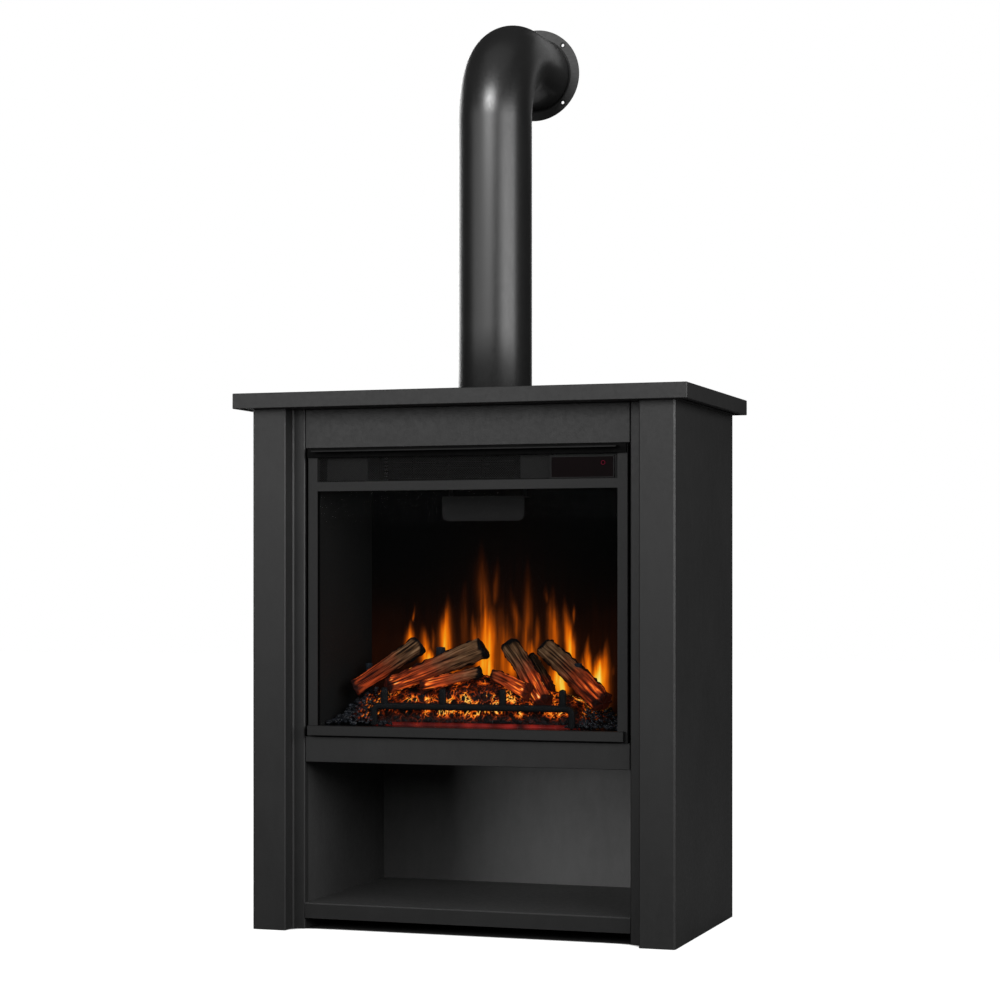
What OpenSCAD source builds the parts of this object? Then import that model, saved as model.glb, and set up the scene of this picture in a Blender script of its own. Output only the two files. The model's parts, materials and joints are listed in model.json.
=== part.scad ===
// Electric stove-style fireplace: a mantel cabinet with an open storage compartment,
// a built-in firebox with flame effect and fan heater, and a decorative stove pipe.
// Millimetres, +Z up. Origin: centre of the footprint, at floor level. The front faces -Y.
// Inside the modules, depth is counted from the front face of the piers, towards the wall.

/* [Mantel cabinet] */
// Width over the two side panels
cabinet_w = 768; // [768:1:820]
// Depth from the pier fronts to the back edge
cabinet_d = 422; // [410:1:440]
// Height from the floor to the top of the mantel
cabinet_h = 944; // [940:1:980]
// Thickness of the mantel top
top_t = 27; // [22:1:32]
// Overhang of the mantel top at the front and the sides
top_overhang = 27; // [22:1:35]
// Thickness of the upright boards
board_t = 16; // [15:0.5:16]
// Width of each front pier
pier_w = 62.5; // [60:0.5:66]
// Distance that the piers stand forward of the stiles
pier_step = 32; // [32:0.5:34]
// Chamfer on the outer corner of each pier
pier_chamfer = 3; // [1:0.5:4]

/* [Storage compartment] */
// Clear width between the stiles
opening_w = 596; // [594:1:598]
// Open gap under the bottom shelf
toe_gap = 19; // [12:1:24]
// Thickness of the bottom shelf
shelf_t = 27; // [18:1:30]
// Height of the lower edge of the rail under the firebox
rail_z = 295; // [285:1:300]

/* [Firebox] */
// Width of the firebox frame
firebox_w = 585.2; // [583:0.2:587]
// Height of the firebox frame
firebox_h = 508; // [508:0.5:508.5]
// Height of the lower edge of the firebox above the floor
firebox_z = 340; // [340:0.5:341]
// Depth of the firebox case behind the frame
case_d = 224; // [222:1:240]
// Width of the frame's side bars
frame_bar = 17.8; // [15:0.1:20]
// Height of the air grille
grille_h = 43.2; // [43:0.1:44]
// Height of the bar between the grille and the glass
mullion_h = 15.9; // [15:0.1:16]

/* [Stove pipe] */
// Outer radius of the pipe
pipe_r = 66.5; // [63:0.5:67]
// Wall thickness of the pipe
pipe_wall = 1.5; // [1:0.1:2]
// Radius of the bend, to the pipe's axis
bend_r = 130; // [110:1:140]
// Distance from the pier fronts to the upright pipe's axis
pipe_y = 200; // [180:1:220]
// Height of the horizontal pipe's axis above the floor
pipe_z = 1568; // [1400:1:1800]
// Distance from the cabinet's back to the wall
wall_gap = 19.6; // [15:0.1:40]
// Diameter of the wall flange
flange_d = 171; // [171:1:180]
// Diameter of the circle that the flange holes lie on
flange_pcd = 152; // [150:1:154]
// Radius of the flange holes
flange_hole_r = 3; // [2:0.5:4]

/* [Hidden] */
$fn = 64;

// Colours
satin_black = [0.10, 0.10, 0.105];
frame_black = [0.14, 0.14, 0.145];
pipe_black = [0.17, 0.17, 0.175];
deep_black = [0.03, 0.03, 0.032];
zinc = [0.62, 0.63, 0.64];
bark = [0.30, 0.17, 0.10];
ember = [0.85, 0.30, 0.05];
coal = [0.07, 0.07, 0.08];
board_green = [0.05, 0.30, 0.14];
mica = [0.75, 0.70, 0.58];

// Overall places. Depths count from the front face of the piers.
wall_y = cabinet_d + wall_gap;
mid_y = (wall_y - top_overhang) / 2;
half_w = cabinet_w / 2;
half_open = opening_w / 2;
under_top = cabinet_h - top_t;
pier_in = half_w - pier_w;
stile_y = pier_step;
back_t = 5;
back_y = cabinet_d - back_t;
edge_ease = 0.8;
corner_ease = 1.6;
joint_gap = 1;
groove_in = 8;
groove_w = 9;
groove_depth = 3;
top_holes_y = [10, 200, 395];
top_hole_r = 3;
ring_screw_r = 2;
ring_screw_at = 52;

// Firebox places
frame_t = 3;
frame_y = 34.6;
frame_back = frame_y + frame_t;
half_frame = firebox_w / 2;
half_glass = half_frame - frame_bar;
firebox_top = firebox_z + firebox_h;
sheet_t = 1.2;
sill_h = 19.5;
top_bar_h = 16.3;
grille_top = firebox_top - top_bar_h;
grille_bottom = grille_top - grille_h;
glass_top = grille_bottom - mullion_h;
glass_bottom = firebox_z + sill_h;
case_front = frame_back + 0.4;
case_back = case_front + case_d;
half_case = half_frame - 6.6;
case_top = firebox_top - 2;
hearth_z = 359;
liner_front_x = 276;
liner_back_x = 240;
liner_front_y = 50;
liner_back_y = 208;
screen_y = 208.5;
screen_t = 3;
baffle_z = 789;

// Flame effect spindle
rotor_y = 236;
rotor_z = 405;
rotor_left = -205;
rotor_right = 195;
rotor_shaft_r = 2;
running_gap = 0.05;

// Tangential blower
blower_y = 150;
blower_z = 817.5;
wheel_r = 20;
wheel_left = -170;
wheel_right = 85;
wheel_shaft_r = 3;
plate_gap = 2;

// Controls on the front
display_left = 156;
display_right = 268.5;
display_bottom = 790.2;
display_top = 827.2;
display_front = 35.4;
display_back = 42;
display_rim = 1.4;
button_x = 249;
button_z = 815.6;
button_r = 4;
button_gap = 0.3;
button_front = 35.7;
button_stem_back = 44;
board_y = 50;

// Mains switch and cord inlet on the rear cover
switch_x = 205;
switch_z = 470;
rocker_w = 11.4;
rocker_pin_r = 1.2;
rocker_y = 260.5;
rocker_tilt = 7;
gland_x = 205;
gland_z = 375;
gland_hole_r = 8;
gland_bore_r = 3.6;

// ---- shared shapes ----

// Puts depths counted from the pier fronts into the part's own frame
module placed() {
    translate([0, -mid_y, 0]) children();
}

// Draws the children and their mirror image across the middle plane
module both_sides() {
    children();
    mirror([1, 0, 0]) children();
}

// Plain block between two corners
module block(lo, hi) {
    translate(lo) cube(hi - lo);
}

module eased_rect(w, h, e) {
    polygon([[e, 0], [w - e, 0], [w, e], [w, h - e], [w - e, h], [e, h], [0, h - e], [0, e]]);
}

// Board between two corners, with its twelve edges eased
module board(lo, hi, e = edge_ease) {
    s = hi - lo;
    translate(lo) intersection() {
        linear_extrude(s.z) eased_rect(s.x, s.y, e);
        translate([0, s.y, 0]) rotate([90, 0, 0]) linear_extrude(s.y) eased_rect(s.x, s.z, e);
        rotate([90, 0, 90]) linear_extrude(s.x) eased_rect(s.y, s.z, e);
    }
}

// Cylinder along +Y from a point
module rod_y(at, r, h) {
    translate(at) rotate([-90, 0, 0]) cylinder(r = r, h = h);
}

// Cylinder along +X from a point
module rod_x(at, r, h) {
    translate(at) rotate([0, 90, 0]) cylinder(r = r, h = h);
}

// Profile in depth and height, run along the width between two places
module along_x(x0, x1) {
    translate([x0, 0, 0]) rotate([90, 0, 90]) linear_extrude(x1 - x0) children();
}

// Profile in width and height, run along the depth between two places
module along_y(y0, y1) {
    translate([0, y1, 0]) rotate([90, 0, 0]) linear_extrude(y1 - y0) children();
}

// ---- mantel cabinet ----

module mantel_top() {
    half_top = half_w + top_overhang;
    groove_x = half_w + groove_in;
    color(satin_black) placed() difference() {
        board([-half_top, -top_overhang, under_top], [half_top, cabinet_d, cabinet_h], 1);
        both_sides() block(
            [groove_x, -groove_in - groove_w, under_top - 1],
            [groove_x + groove_w, back_y, under_top + groove_depth]
        );
        block(
            [-groove_x, -groove_in - groove_w, under_top - 1],
            [groove_x, -groove_in, under_top + groove_depth]
        );
        for (y = top_holes_y) {
            both_sides() translate([groove_x + groove_w / 2, y, under_top - 1])
                cylinder(r = top_hole_r, h = 14);
        }
        ring_screw_places() translate([0, 0, under_top - 1])
            cylinder(r = ring_screw_r + 0.3, h = top_t + 2);
    }
}

// Places of the four screws that hold the pipe's base ring
module ring_screw_places() {
    for (a = [45:90:315]) {
        translate([ring_screw_at * cos(a), pipe_y + ring_screw_at * sin(a), 0]) children();
    }
}

// Side panel, mitred to the pier front along a line through the chamfered corner
module side_panel() {
    c = pier_chamfer;
    color(satin_black) placed() linear_extrude(under_top) polygon([
        [half_w - c / 2, c / 2], [half_w, c], [half_w, cabinet_d],
        [half_w - board_t, cabinet_d], [half_w - board_t, board_t]
    ]);
}

module left_side_panel() {
    mirror([1, 0, 0]) side_panel();
}

module right_side_panel() {
    side_panel();
}

module pier_front() {
    c = pier_chamfer;
    e = corner_ease;
    color(satin_black) placed() linear_extrude(under_top) polygon([
        [pier_in + e, 0], [half_w - c, 0], [half_w - c / 2, c / 2],
        [half_w - board_t, board_t], [pier_in, board_t], [pier_in, e]
    ]);
}

module left_pier_front() {
    mirror([1, 0, 0]) pier_front();
}

module right_pier_front() {
    pier_front();
}

module pier_returns() {
    color(satin_black) placed() both_sides()
        block([pier_in, board_t, 0], [pier_in + board_t, stile_y, under_top]);
}

// Stile with a narrow bead where it meets the pier
module stile() {
    bead_w = 3.4;
    bead_h = 2.4;
    e = corner_ease;
    color(satin_black) placed() linear_extrude(under_top) polygon([
        [half_open + e, stile_y], [pier_in - bead_w, stile_y],
        [pier_in - bead_w + bead_h, stile_y - bead_h],
        [pier_in, stile_y - bead_h], [pier_in, stile_y], [half_w - board_t, stile_y],
        [half_w - board_t, stile_y + board_t], [half_open, stile_y + board_t],
        [half_open, stile_y + e]
    ]);
}

module left_stile() {
    mirror([1, 0, 0]) stile();
}

module right_stile() {
    stile();
}

module header_board() {
    x = half_open - joint_gap;
    y = stile_y + joint_gap;
    color(satin_black) placed()
        board([-x, y, firebox_top + 0.6], [x, y + board_t, under_top]);
}

module lower_rail() {
    x = half_open - joint_gap;
    y = stile_y + joint_gap;
    color(satin_black) placed() board([-x, y, rail_z], [x, y + board_t, firebox_z]);
}

module firebox_deck() {
    y = stile_y + joint_gap + board_t;
    color(satin_black) placed()
        block([-half_open, y, firebox_z - board_t], [half_open, back_y, firebox_z]);
}

// Worn front arris of the shelf: its depth and its height
arris_d = 0.8;
arris_h = 2;

module bottom_shelf() {
    shelf_z = toe_gap + shelf_t;
    color(satin_black) placed() along_x(-half_open, half_open) polygon([
        [stile_y, toe_gap],
        [stile_y, shelf_z - arris_h],
        [stile_y + arris_d, shelf_z],
        [back_y, shelf_z],
        [back_y, toe_gap]
    ]);
}

// Places of the cam locks: depth and height on each inner panel
cam_r = 7.5;
cam_t = 12;
cam_depths = [90, 370];
cam_heights = [toe_gap + shelf_t / 2, firebox_z - board_t / 2, under_top - 34];

module cam_pockets(r) {
    for (y = cam_depths) {
        for (z = cam_heights) {
            rod_x([half_open + board_t - cam_t, y, z], r, cam_t);
        }
    }
}

module inner_panel() {
    color(satin_black) placed() difference() {
        block([half_open, stile_y + board_t, 0], [half_open + board_t, back_y, under_top]);
        cam_pockets(cam_r);
    }
}

module left_inner_panel() {
    mirror([1, 0, 0]) inner_panel();
}

module right_inner_panel() {
    inner_panel();
}

// Places of the screws in the back panel, on the inner panels' rear edges
back_screws_x = half_open + board_t / 2;
back_screws_z = [60, 180, 300];
back_screw_r = 1.5;

module back_screw_places() {
    for (z = back_screws_z) {
        both_sides() translate([back_screws_x, back_y, z]) children();
    }
}

module back_panel() {
    x = half_w - board_t;
    color(satin_black) placed() difference() {
        block([-x, back_y, toe_gap], [x, cabinet_d, firebox_z]);
        back_screw_places() rod_y([0, -1, 0], back_screw_r + 0.1, back_t + 2);
    }
}

module rear_stretcher() {
    stretcher_h = 70;
    color(satin_black) placed()
        block([-half_open, back_y - board_t, under_top - stretcher_h], [half_open, back_y, under_top]);
}

// Round cam locks in the hidden faces of the inner panels, each with a drive slot
module cam_locks() {
    slot_w = 2;
    slot_l = 9;
    color(zinc) placed() both_sides() difference() {
        cam_pockets(cam_r - 0.1);
        for (y = cam_depths) {
            for (z = cam_heights) {
                block(
                    [half_open + board_t - 3, y - slot_l / 2, z - slot_w / 2],
                    [half_open + board_t + 1, y + slot_l / 2, z + slot_w / 2]
                );
            }
        }
    }
}

// Screws of the pipe's base ring, and of the back panel
module cabinet_screws() {
    head_r = 3.6;
    head_h = 1.4;
    ring_t = 3;
    color(zinc) placed() {
        ring_screw_places() {
            translate([0, 0, under_top - 2]) cylinder(r = 4, h = 2);
            translate([0, 0, under_top]) cylinder(r = ring_screw_r, h = top_t + ring_t + 2);
        }
        back_screw_places() {
            rod_y([0, back_t, 0], head_r, head_h);
            rod_y([0, 0, 0], back_screw_r, back_t);
        }
    }
}

// ---- stove pipe ----

// Solid that follows the pipe: upright, a quarter bend, then level to the wall flange
module pipe_body(r) {
    bend_z = pipe_z - bend_r;
    bend_y = pipe_y + bend_r;
    translate([0, pipe_y, cabinet_h]) cylinder(r = r, h = bend_z - cabinet_h);
    translate([0, bend_y, bend_z]) rotate([90, 0, -90])
        rotate_extrude(angle = 90) translate([bend_r, 0]) circle(r = r);
    rod_y([0, bend_y, pipe_z], r, wall_y - flange_t - bend_y);
}

flange_t = 2.5;
collar_gap = 0.2;
collar_t = 2;

module stove_pipe() {
    color(pipe_black) placed() difference() {
        pipe_body(pipe_r);
        pipe_body(pipe_r - pipe_wall);
    }
}

// Ring screwed to the mantel, with a collar that the pipe slides over
module pipe_base_ring() {
    outer = pipe_r - pipe_wall - collar_gap;
    collar_h = 28;
    base_t = 3;
    color(zinc) placed() difference() {
        translate([0, pipe_y, cabinet_h]) cylinder(r = outer, h = collar_h);
        translate([0, pipe_y, cabinet_h + base_t]) cylinder(r = outer - collar_t, h = collar_h);
        translate([0, pipe_y, cabinet_h - 1]) cylinder(r = outer - 24, h = collar_h);
        ring_screw_places() translate([0, 0, cabinet_h - 1])
            cylinder(r = ring_screw_r + running_gap, h = base_t + 2);
    }
}

module wall_flange() {
    outer = pipe_r - pipe_wall - collar_gap;
    collar_h = 24;
    face_y = wall_y - flange_t;
    color(pipe_black) placed() difference() {
        union() {
            rod_y([0, face_y, pipe_z], flange_d / 2, flange_t);
            rod_y([0, face_y - collar_h, pipe_z], outer, collar_h);
        }
        rod_y([0, face_y - collar_h - 1, pipe_z], outer - collar_t, collar_h + flange_t + 2);
        for (a = [45:90:315]) {
            r = flange_pcd / 2;
            rod_y([r * cos(a), face_y - 1, pipe_z + r * sin(a)], flange_hole_r, flange_t + 2);
        }
    }
}

// ---- firebox shell ----

side_vent_rows = 5;

// Folded sheet case, open at the front and the back, with air slots in its sides
module firebox_case() {
    slot_w = 60;
    slot_h = 4;
    color(zinc) placed() difference() {
        block([-half_case, case_front, firebox_z], [half_case, case_back, case_top]);
        block(
            [-half_case + sheet_t, case_front - 1, firebox_z + sheet_t],
            [half_case - sheet_t, case_back + 1, case_top - sheet_t]
        );
        for (i = [0:side_vent_rows - 1]) {
            z = case_top - 50 + 9 * i;
            block([-half_case - 1, 190, z], [half_case + 1, 190 + slot_w, z + slot_h]);
        }
    }
}

// Places of the screws around the rear cover
cover_screw_r = 1.5;

module cover_screw_places() {
    inset = 9;
    for (z = [firebox_z + inset, (firebox_z + case_top) / 2, case_top - inset]) {
        both_sides() translate([half_case - inset, case_back + sheet_t, z]) children();
    }
}

module rear_cover() {
    louvre_w = 130;
    louvre_h = 5;
    louvre_rows = 6;
    louvre_cols = 3;
    color(zinc) placed() difference() {
        block([-half_case, case_back, firebox_z], [half_case, case_back + sheet_t, case_top]);
        for (i = [0:louvre_cols - 1]) {
            for (j = [0:louvre_rows - 1]) {
                x = -225 + 160 * i;
                z = 700 + 16 * j;
                block([x, case_back - 1, z], [x + louvre_w, case_back + sheet_t + 1, z + louvre_h]);
            }
        }
        block(
            [switch_x - 7.2, case_back - 1, switch_z - 10.2],
            [switch_x + 7.2, case_back + 3, switch_z + 10.2]
        );
        rod_y([gland_x, case_back - 1, gland_z], gland_hole_r + 0.1, sheet_t + 2);
        cover_screw_places() rod_y([0, -sheet_t - 1, 0], cover_screw_r + 0.1, sheet_t + 2);
    }
}

// Bracket screw places on the firebox deck
bracket_y = [215, 245];

module firebox_screws() {
    head_r = 3;
    color(zinc) placed() {
        cover_screw_places() {
            rod_y([0, 0, 0], head_r, 1.6);
            rod_y([0, -sheet_t, 0], cover_screw_r, sheet_t);
        }
        for (y = bracket_y) {
            both_sides() translate([half_case + 6, y, firebox_z + 1.5]) {
                cylinder(r = head_r, h = 1.6);
                translate([0, 0, -1.5]) cylinder(r = cover_screw_r, h = 1.5);
            }
        }
    }
}

// Angle brackets that hold the case down on the deck
module mounting_brackets() {
    bracket_t = 1.5;
    leg = 11;
    color(zinc) placed() both_sides() difference() {
        union() {
            block([half_case, 200, firebox_z], [half_case + leg, 260, firebox_z + bracket_t]);
            block([half_case, 200, firebox_z], [half_case + bracket_t, 260, firebox_z + 30]);
        }
        for (y = bracket_y) {
            translate([half_case + 6, y, firebox_z - 1]) cylinder(r = cover_screw_r + 0.1, h = 4);
        }
    }
}

module frame_window(z0, z1) {
    block([-half_glass, frame_y - 1, z0], [half_glass, frame_back + 1, z1]);
}

// Front frame: one pressing with a window for the glass and one for the grille
module front_frame() {
    lip = 8;
    lip_t = 1.5;
    color(frame_black) placed() {
        difference() {
            board([-half_frame, frame_y, firebox_z], [half_frame, frame_back, firebox_top], 0.6);
            frame_window(glass_bottom, glass_top);
            frame_window(grille_bottom, grille_top);
        }
        both_sides() block(
            [half_frame - lip_t, frame_back, firebox_z + 1],
            [half_frame - 0.2, frame_back + lip, firebox_top - 1]
        );
    }
}

// Black moulding across the top of the frame, with a lip that throws the warm air forward
module visor() {
    half_visor = half_frame - 1;
    half_lip = 278;
    body_front = 29;
    body_lo = grille_top + 0.3;
    body_hi = firebox_top - 0.2;
    lip_front = 12;
    lip_lo = firebox_top - 7.2;
    lip_t = 2.3;
    color(deep_black) placed() {
        block([-half_visor, body_front, body_lo], [half_visor, frame_y, body_hi]);
        block([-half_lip, lip_front, lip_lo], [half_lip, body_front + 1, lip_lo + lip_t]);
    }
}

// Perforated grille with a cut-out for the display
module grille_mesh() {
    half_mesh = half_glass + 3;
    pitch = 10;
    hole = 5;
    rows = 4;
    columns = 42;
    color(frame_black) placed() along_y(case_front, case_front + 1) difference() {
        translate([-half_mesh, grille_bottom - 3]) square([2 * half_mesh, grille_h + 6]);
        for (i = [0:columns - 1]) {
            for (j = [0:rows - 1]) {
                translate([-262 + pitch * (i + 0.5 * (j % 2)), grille_bottom + 6.5 + pitch * j])
                    rotate(45) square(hole, center = true);
            }
        }
        translate([display_left - 0.2, display_bottom - 0.2])
            square([display_right - display_left + 0.4, display_top - display_bottom + 0.4]);
    }
}

// Sheet plates behind the grille, either side of the air outlet
module grille_backing() {
    backing_y = 44;
    color(frame_black) placed() {
        block([-260, backing_y, 791], [-183, backing_y + 1, 841]);
        block([99, backing_y, 791], [153, backing_y + 1, 841]);
    }
}

// Folded trim channel under the glass
module bottom_ledge() {
    half_ledge = 288.5;
    ledge_front = 20;
    ledge_lo = 342.7;
    ledge_hi = 359.7;
    wall = 1.5;
    color(frame_black) placed() difference() {
        board([-half_ledge, ledge_front, ledge_lo], [half_ledge, frame_y, ledge_hi], 0.6);
        block(
            [-half_ledge + wall, ledge_front + wall, ledge_lo + wall],
            [half_ledge - wall, frame_y + 1, ledge_hi - wall]
        );
    }
}

module glass_pane() {
    color([0.5, 0.55, 0.6, 0.25]) placed()
        block([-half_glass - 4, 39, glass_bottom - 6], [half_glass + 4, 43, glass_top + 6]);
}

// ---- fire chamber ----

// Side walls of the chamber, closing in towards the flame screen
module side_liners() {
    liner_t = 1.5;
    color(deep_black) placed() both_sides() translate([0, 0, hearth_z])
        linear_extrude(baffle_z - hearth_z) polygon([
            [liner_front_x, liner_front_y], [liner_back_x, liner_back_y],
            [liner_back_x + liner_t, liner_back_y], [liner_front_x + liner_t, liner_front_y]
        ]);
}

module hearth_tray() {
    tray_t = 3;
    front = 46;
    back = 206;
    front_x = 275;
    back_x = 239;
    fold_t = 1.5;
    color(deep_black) placed() {
        translate([0, 0, hearth_z - tray_t]) linear_extrude(tray_t)
            polygon([[-front_x, front], [front_x, front], [back_x, back], [-back_x, back]]);
        for (y = [front, back - fold_t]) {
            block([-back_x, y, firebox_z + sheet_t], [back_x, y + fold_t, hearth_z - tray_t]);
        }
    }
}

module ceiling_baffle() {
    x = half_case - sheet_t;
    slot_x = 60;
    color(zinc) placed() difference() {
        block([-x, 45, baffle_z], [x, case_back, baffle_z + sheet_t]);
        block([-slot_x, 178, baffle_z - 1], [slot_x, 196, baffle_z + 3]);
    }
}

cover_half = 76.5;
cover_y = 134;
cover_top = 764.5;
cover_bottom = 720.7;

// Hanging plate with rounded lower corners that hides the downlight
module downlight_cover() {
    corner = 12;
    plate_t = 1.5;
    shelf_d = 40;
    color(deep_black) placed() {
        along_y(cover_y, cover_y + plate_t) {
            translate([-cover_half, cover_bottom + corner])
                square([2 * cover_half, cover_top - cover_bottom - corner]);
            translate([-cover_half + corner, cover_bottom])
                square([2 * (cover_half - corner), corner]);
            for (s = [-1, 1]) {
                translate([s * (cover_half - corner), cover_bottom + corner]) circle(r = corner);
            }
        }
        block([-cover_half, cover_y, cover_top - plate_t], [cover_half, cover_y + shelf_d, cover_top]);
        both_sides() block(
            [cover_half - 8, cover_y + 18, cover_top],
            [cover_half - 6, cover_y + 34, baffle_z]
        );
    }
}

// Light boards: one under the downlight cover, one on the case floor behind the screen
module led_boards() {
    board_thick = 1.6;
    led = 3.5;
    down_z = cover_top - 1.5 - board_thick;
    floor_z = firebox_z + sheet_t;
    color("white") placed() {
        block([-60, cover_y + 8, down_z], [60, cover_y + 24, down_z + board_thick]);
        for (x = [-50:20:50]) {
            block([x - led / 2, cover_y + 14, down_z - 1], [x + led / 2, cover_y + 14 + led, down_z]);
        }
        block([-190, 214, floor_z], [190, 228, floor_z + board_thick]);
        for (x = [-180:24:180]) {
            block(
                [x - led / 2, 219, floor_z + board_thick],
                [x + led / 2, 219 + led, floor_z + board_thick + 1]
            );
        }
    }
}

module flame_screen() {
    half_screen = 246;
    color([0.06, 0.05, 0.05]) placed()
        block([-half_screen, screen_y, hearth_z], [half_screen, screen_y + screen_t, baffle_z - 1]);
}

// Moulded ember bed: a low slope to the back with a higher mound under the left logs,
// broken up by channels
module ember_bed() {
    left = -192;
    right = 204;
    channel_w = 5;
    color(ember) placed() difference() {
        union() {
            along_x(left, right) polygon([
                [84, hearth_z], [84, 370], [98, 386], [120, 398],
                [150, 408], [190, 420], [204, 420], [204, hearth_z]
            ]);
            along_x(-150, -20) polygon([
                [105, hearth_z], [105, 385], [135, 425], [165, 445], [200, 452], [200, hearth_z]
            ]);
        }
        for (i = [0:15]) {
            translate([left + 14 + 25 * i, 80, 378 + 8 * (i % 3)]) rotate([24, 0, 14 * (i % 5) - 28])
                cube([channel_w, 26 + 6 * (i % 4), 60]);
        }
    }
}

// Loose coals: a low layer on the hearth with smaller ones on top, at both ends
module coals() {
    low = 21;
    high = 11;
    sunk = 2;
    color(coal) placed() for (side = [-1, 1]) {
        for (i = [0:2]) {
            for (j = [0:1]) {
                x = side * (218 + 24 * j);
                y = 76 + 28 * i;
                turn = 11 * ((i + 2 * j) % 4) - 14;
                if (!(j == 1 && i == 2)) {
                    translate([x, y, hearth_z + low / 2]) rotate([0, 0, turn]) cube(low, center = true);
                    translate([x, y, hearth_z + low + high / 2 - sunk]) rotate([0, 0, turn * 2 + 20])
                        cube([high, high, high], center = true);
                }
            }
        }
    }
}

// Cast grate: a front bar on two legs, with four upright pegs
module grate() {
    half_grate = 187;
    bar_y = 70;
    bar_d = 8;
    bar_lo = 389;
    bar_hi = 399;
    peg_top = 428;
    peg_r = 5;
    leg_w = 9;
    color(deep_black) placed() {
        board([-half_grate, bar_y, bar_lo], [half_grate, bar_y + bar_d, bar_hi], 1.5);
        for (x = [-163, -54, 57, 166]) {
            translate([x, bar_y + bar_d / 2, bar_hi - 1])
                cylinder(r1 = peg_r, r2 = peg_r - 0.6, h = peg_top - bar_hi);
            block([x - 3, bar_y + 1, bar_lo + 2], [x + 3, 84, bar_hi - 2]);
        }
        both_sides() block([half_grate - leg_w, bar_y, hearth_z], [half_grate, bar_y + bar_d, bar_lo + 1]);
    }
}

// Tapered branch between two points
module branch(a, b, ra, rb) {
    d = b - a;
    run = norm([d.x, d.y]);
    translate(a) rotate([0, atan2(run, d.z), atan2(d.y, d.x)]) cylinder(r1 = ra, r2 = rb, h = norm(d));
}

module left_log() {
    color(bark) placed() branch([-234, 105, 424], [-129, 175, 498], 13, 15);
}

module long_log() {
    color(bark) placed() branch([-167, 90, 428], [-6, 165, 494], 12, 19);
}

module middle_log() {
    color(bark) placed() branch([29, 178, 508], [127, 96, 414], 14, 13);
}

module rear_log() {
    color(bark) placed() branch([71, 190, 478], [139, 142, 426], 11, 12);
}

module right_log() {
    color(bark) placed() branch([91, 180, 505], [248, 75, 404], 18, 15);
}

module small_branches() {
    color(bark) placed() {
        branch([-100, 84, 428], [8, 104, 456], 8, 9);
        branch([27, 124, 450], [100, 84, 417], 8, 9);
    }
}

// ---- flame effect drive ----

// Spindle with reflecting paddles set at stepped angles
module flicker_rotor() {
    paddles = 14;
    paddle_l = 22;
    paddle_r = 13;
    paddle_t = 0.8;
    pitch = (rotor_right - rotor_left - 20) / paddles;
    color(zinc) placed() {
        rod_x([rotor_left - 6, rotor_y, rotor_z], rotor_shaft_r, rotor_right - rotor_left + 18);
        for (i = [0:paddles - 1]) {
            translate([rotor_left + 12 + pitch * i, rotor_y, rotor_z]) rotate([47 * i, 0, 0])
                translate([0, -paddle_r, -paddle_t / 2]) cube([paddle_l, 2 * paddle_r, paddle_t]);
        }
    }
}

// Synchronous gear motor on its bracket
module flicker_motor() {
    motor_r = 20;
    motor_l = 22;
    face_x = rotor_right + 2;
    floor_z = firebox_z + sheet_t;
    color(zinc) placed() difference() {
        union() {
            rod_x([face_x, rotor_y, rotor_z], motor_r, motor_l);
            block([face_x, rotor_y - 16, floor_z], [face_x + 1.5, rotor_y + 16, rotor_z]);
            block([face_x, rotor_y - 16, floor_z], [face_x + 20, rotor_y + 16, floor_z + 1.5]);
        }
        rod_x([face_x - 1, rotor_y, rotor_z], rotor_shaft_r + running_gap, 13);
    }
}

// Rubber bush on a bracket at the spindle's free end
module rotor_bush() {
    bush_r = 7;
    bush_l = 7;
    face_x = rotor_left - 1;
    floor_z = firebox_z + sheet_t;
    color(coal) placed() difference() {
        union() {
            rod_x([face_x - bush_l, rotor_y, rotor_z], bush_r, bush_l);
            block([face_x - 4, rotor_y - 9, floor_z], [face_x - 2.5, rotor_y + 9, rotor_z]);
            block([face_x - 20, rotor_y - 9, floor_z], [face_x - 2.5, rotor_y + 9, floor_z + 1.5]);
        }
        rod_x([face_x - 6.5, rotor_y, rotor_z], rotor_shaft_r + running_gap, 8);
    }
}

// ---- heater ----

// Tangential wheel: end and middle discs, slanted blades and a shaft
module blower_wheel() {
    blades = 18;
    disc_t = 1.5;
    blade_in = 13.5;
    length = wheel_right - wheel_left;
    color(coal) placed() {
        rod_x([wheel_left - 5, blower_y, blower_z], wheel_shaft_r, length + 19);
        for (i = [0:3]) {
            rod_x([wheel_left + i * (length - disc_t) / 3, blower_y, blower_z], wheel_r, disc_t);
        }
        for (i = [0:blades - 1]) {
            translate([wheel_left, blower_y, blower_z]) rotate([i * 360 / blades, 0, 0])
                translate([0, blade_in, 0]) rotate([24, 0, 0]) cube([length, wheel_r - blade_in - 0.9, 0.9]);
        }
    }
}

// Scroll of the blower with its end plates, open towards the grille
module blower_housing() {
    scroll_r = 25;
    scroll_t = 1;
    left = wheel_left - plate_gap;
    right = wheel_right + plate_gap;
    plate_lo = baffle_z + sheet_t;
    plate_hi = case_top - sheet_t;
    color(frame_black) placed() {
        difference() {
            rod_x([left, blower_y, blower_z], scroll_r + scroll_t, right - left);
            rod_x([left - 1, blower_y, blower_z], scroll_r, right - left + 2);
            block([left - 1, blower_y - 30, blower_z - 12], [right + 1, blower_y, blower_z + 12]);
        }
        for (x = [left - 1.5, right]) {
            difference() {
                block([x, 118, plate_lo], [x + 1.5, 182, plate_hi]);
                rod_x([x - 1, blower_y, blower_z], wheel_shaft_r + running_gap, 4);
            }
        }
    }
}

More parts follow.
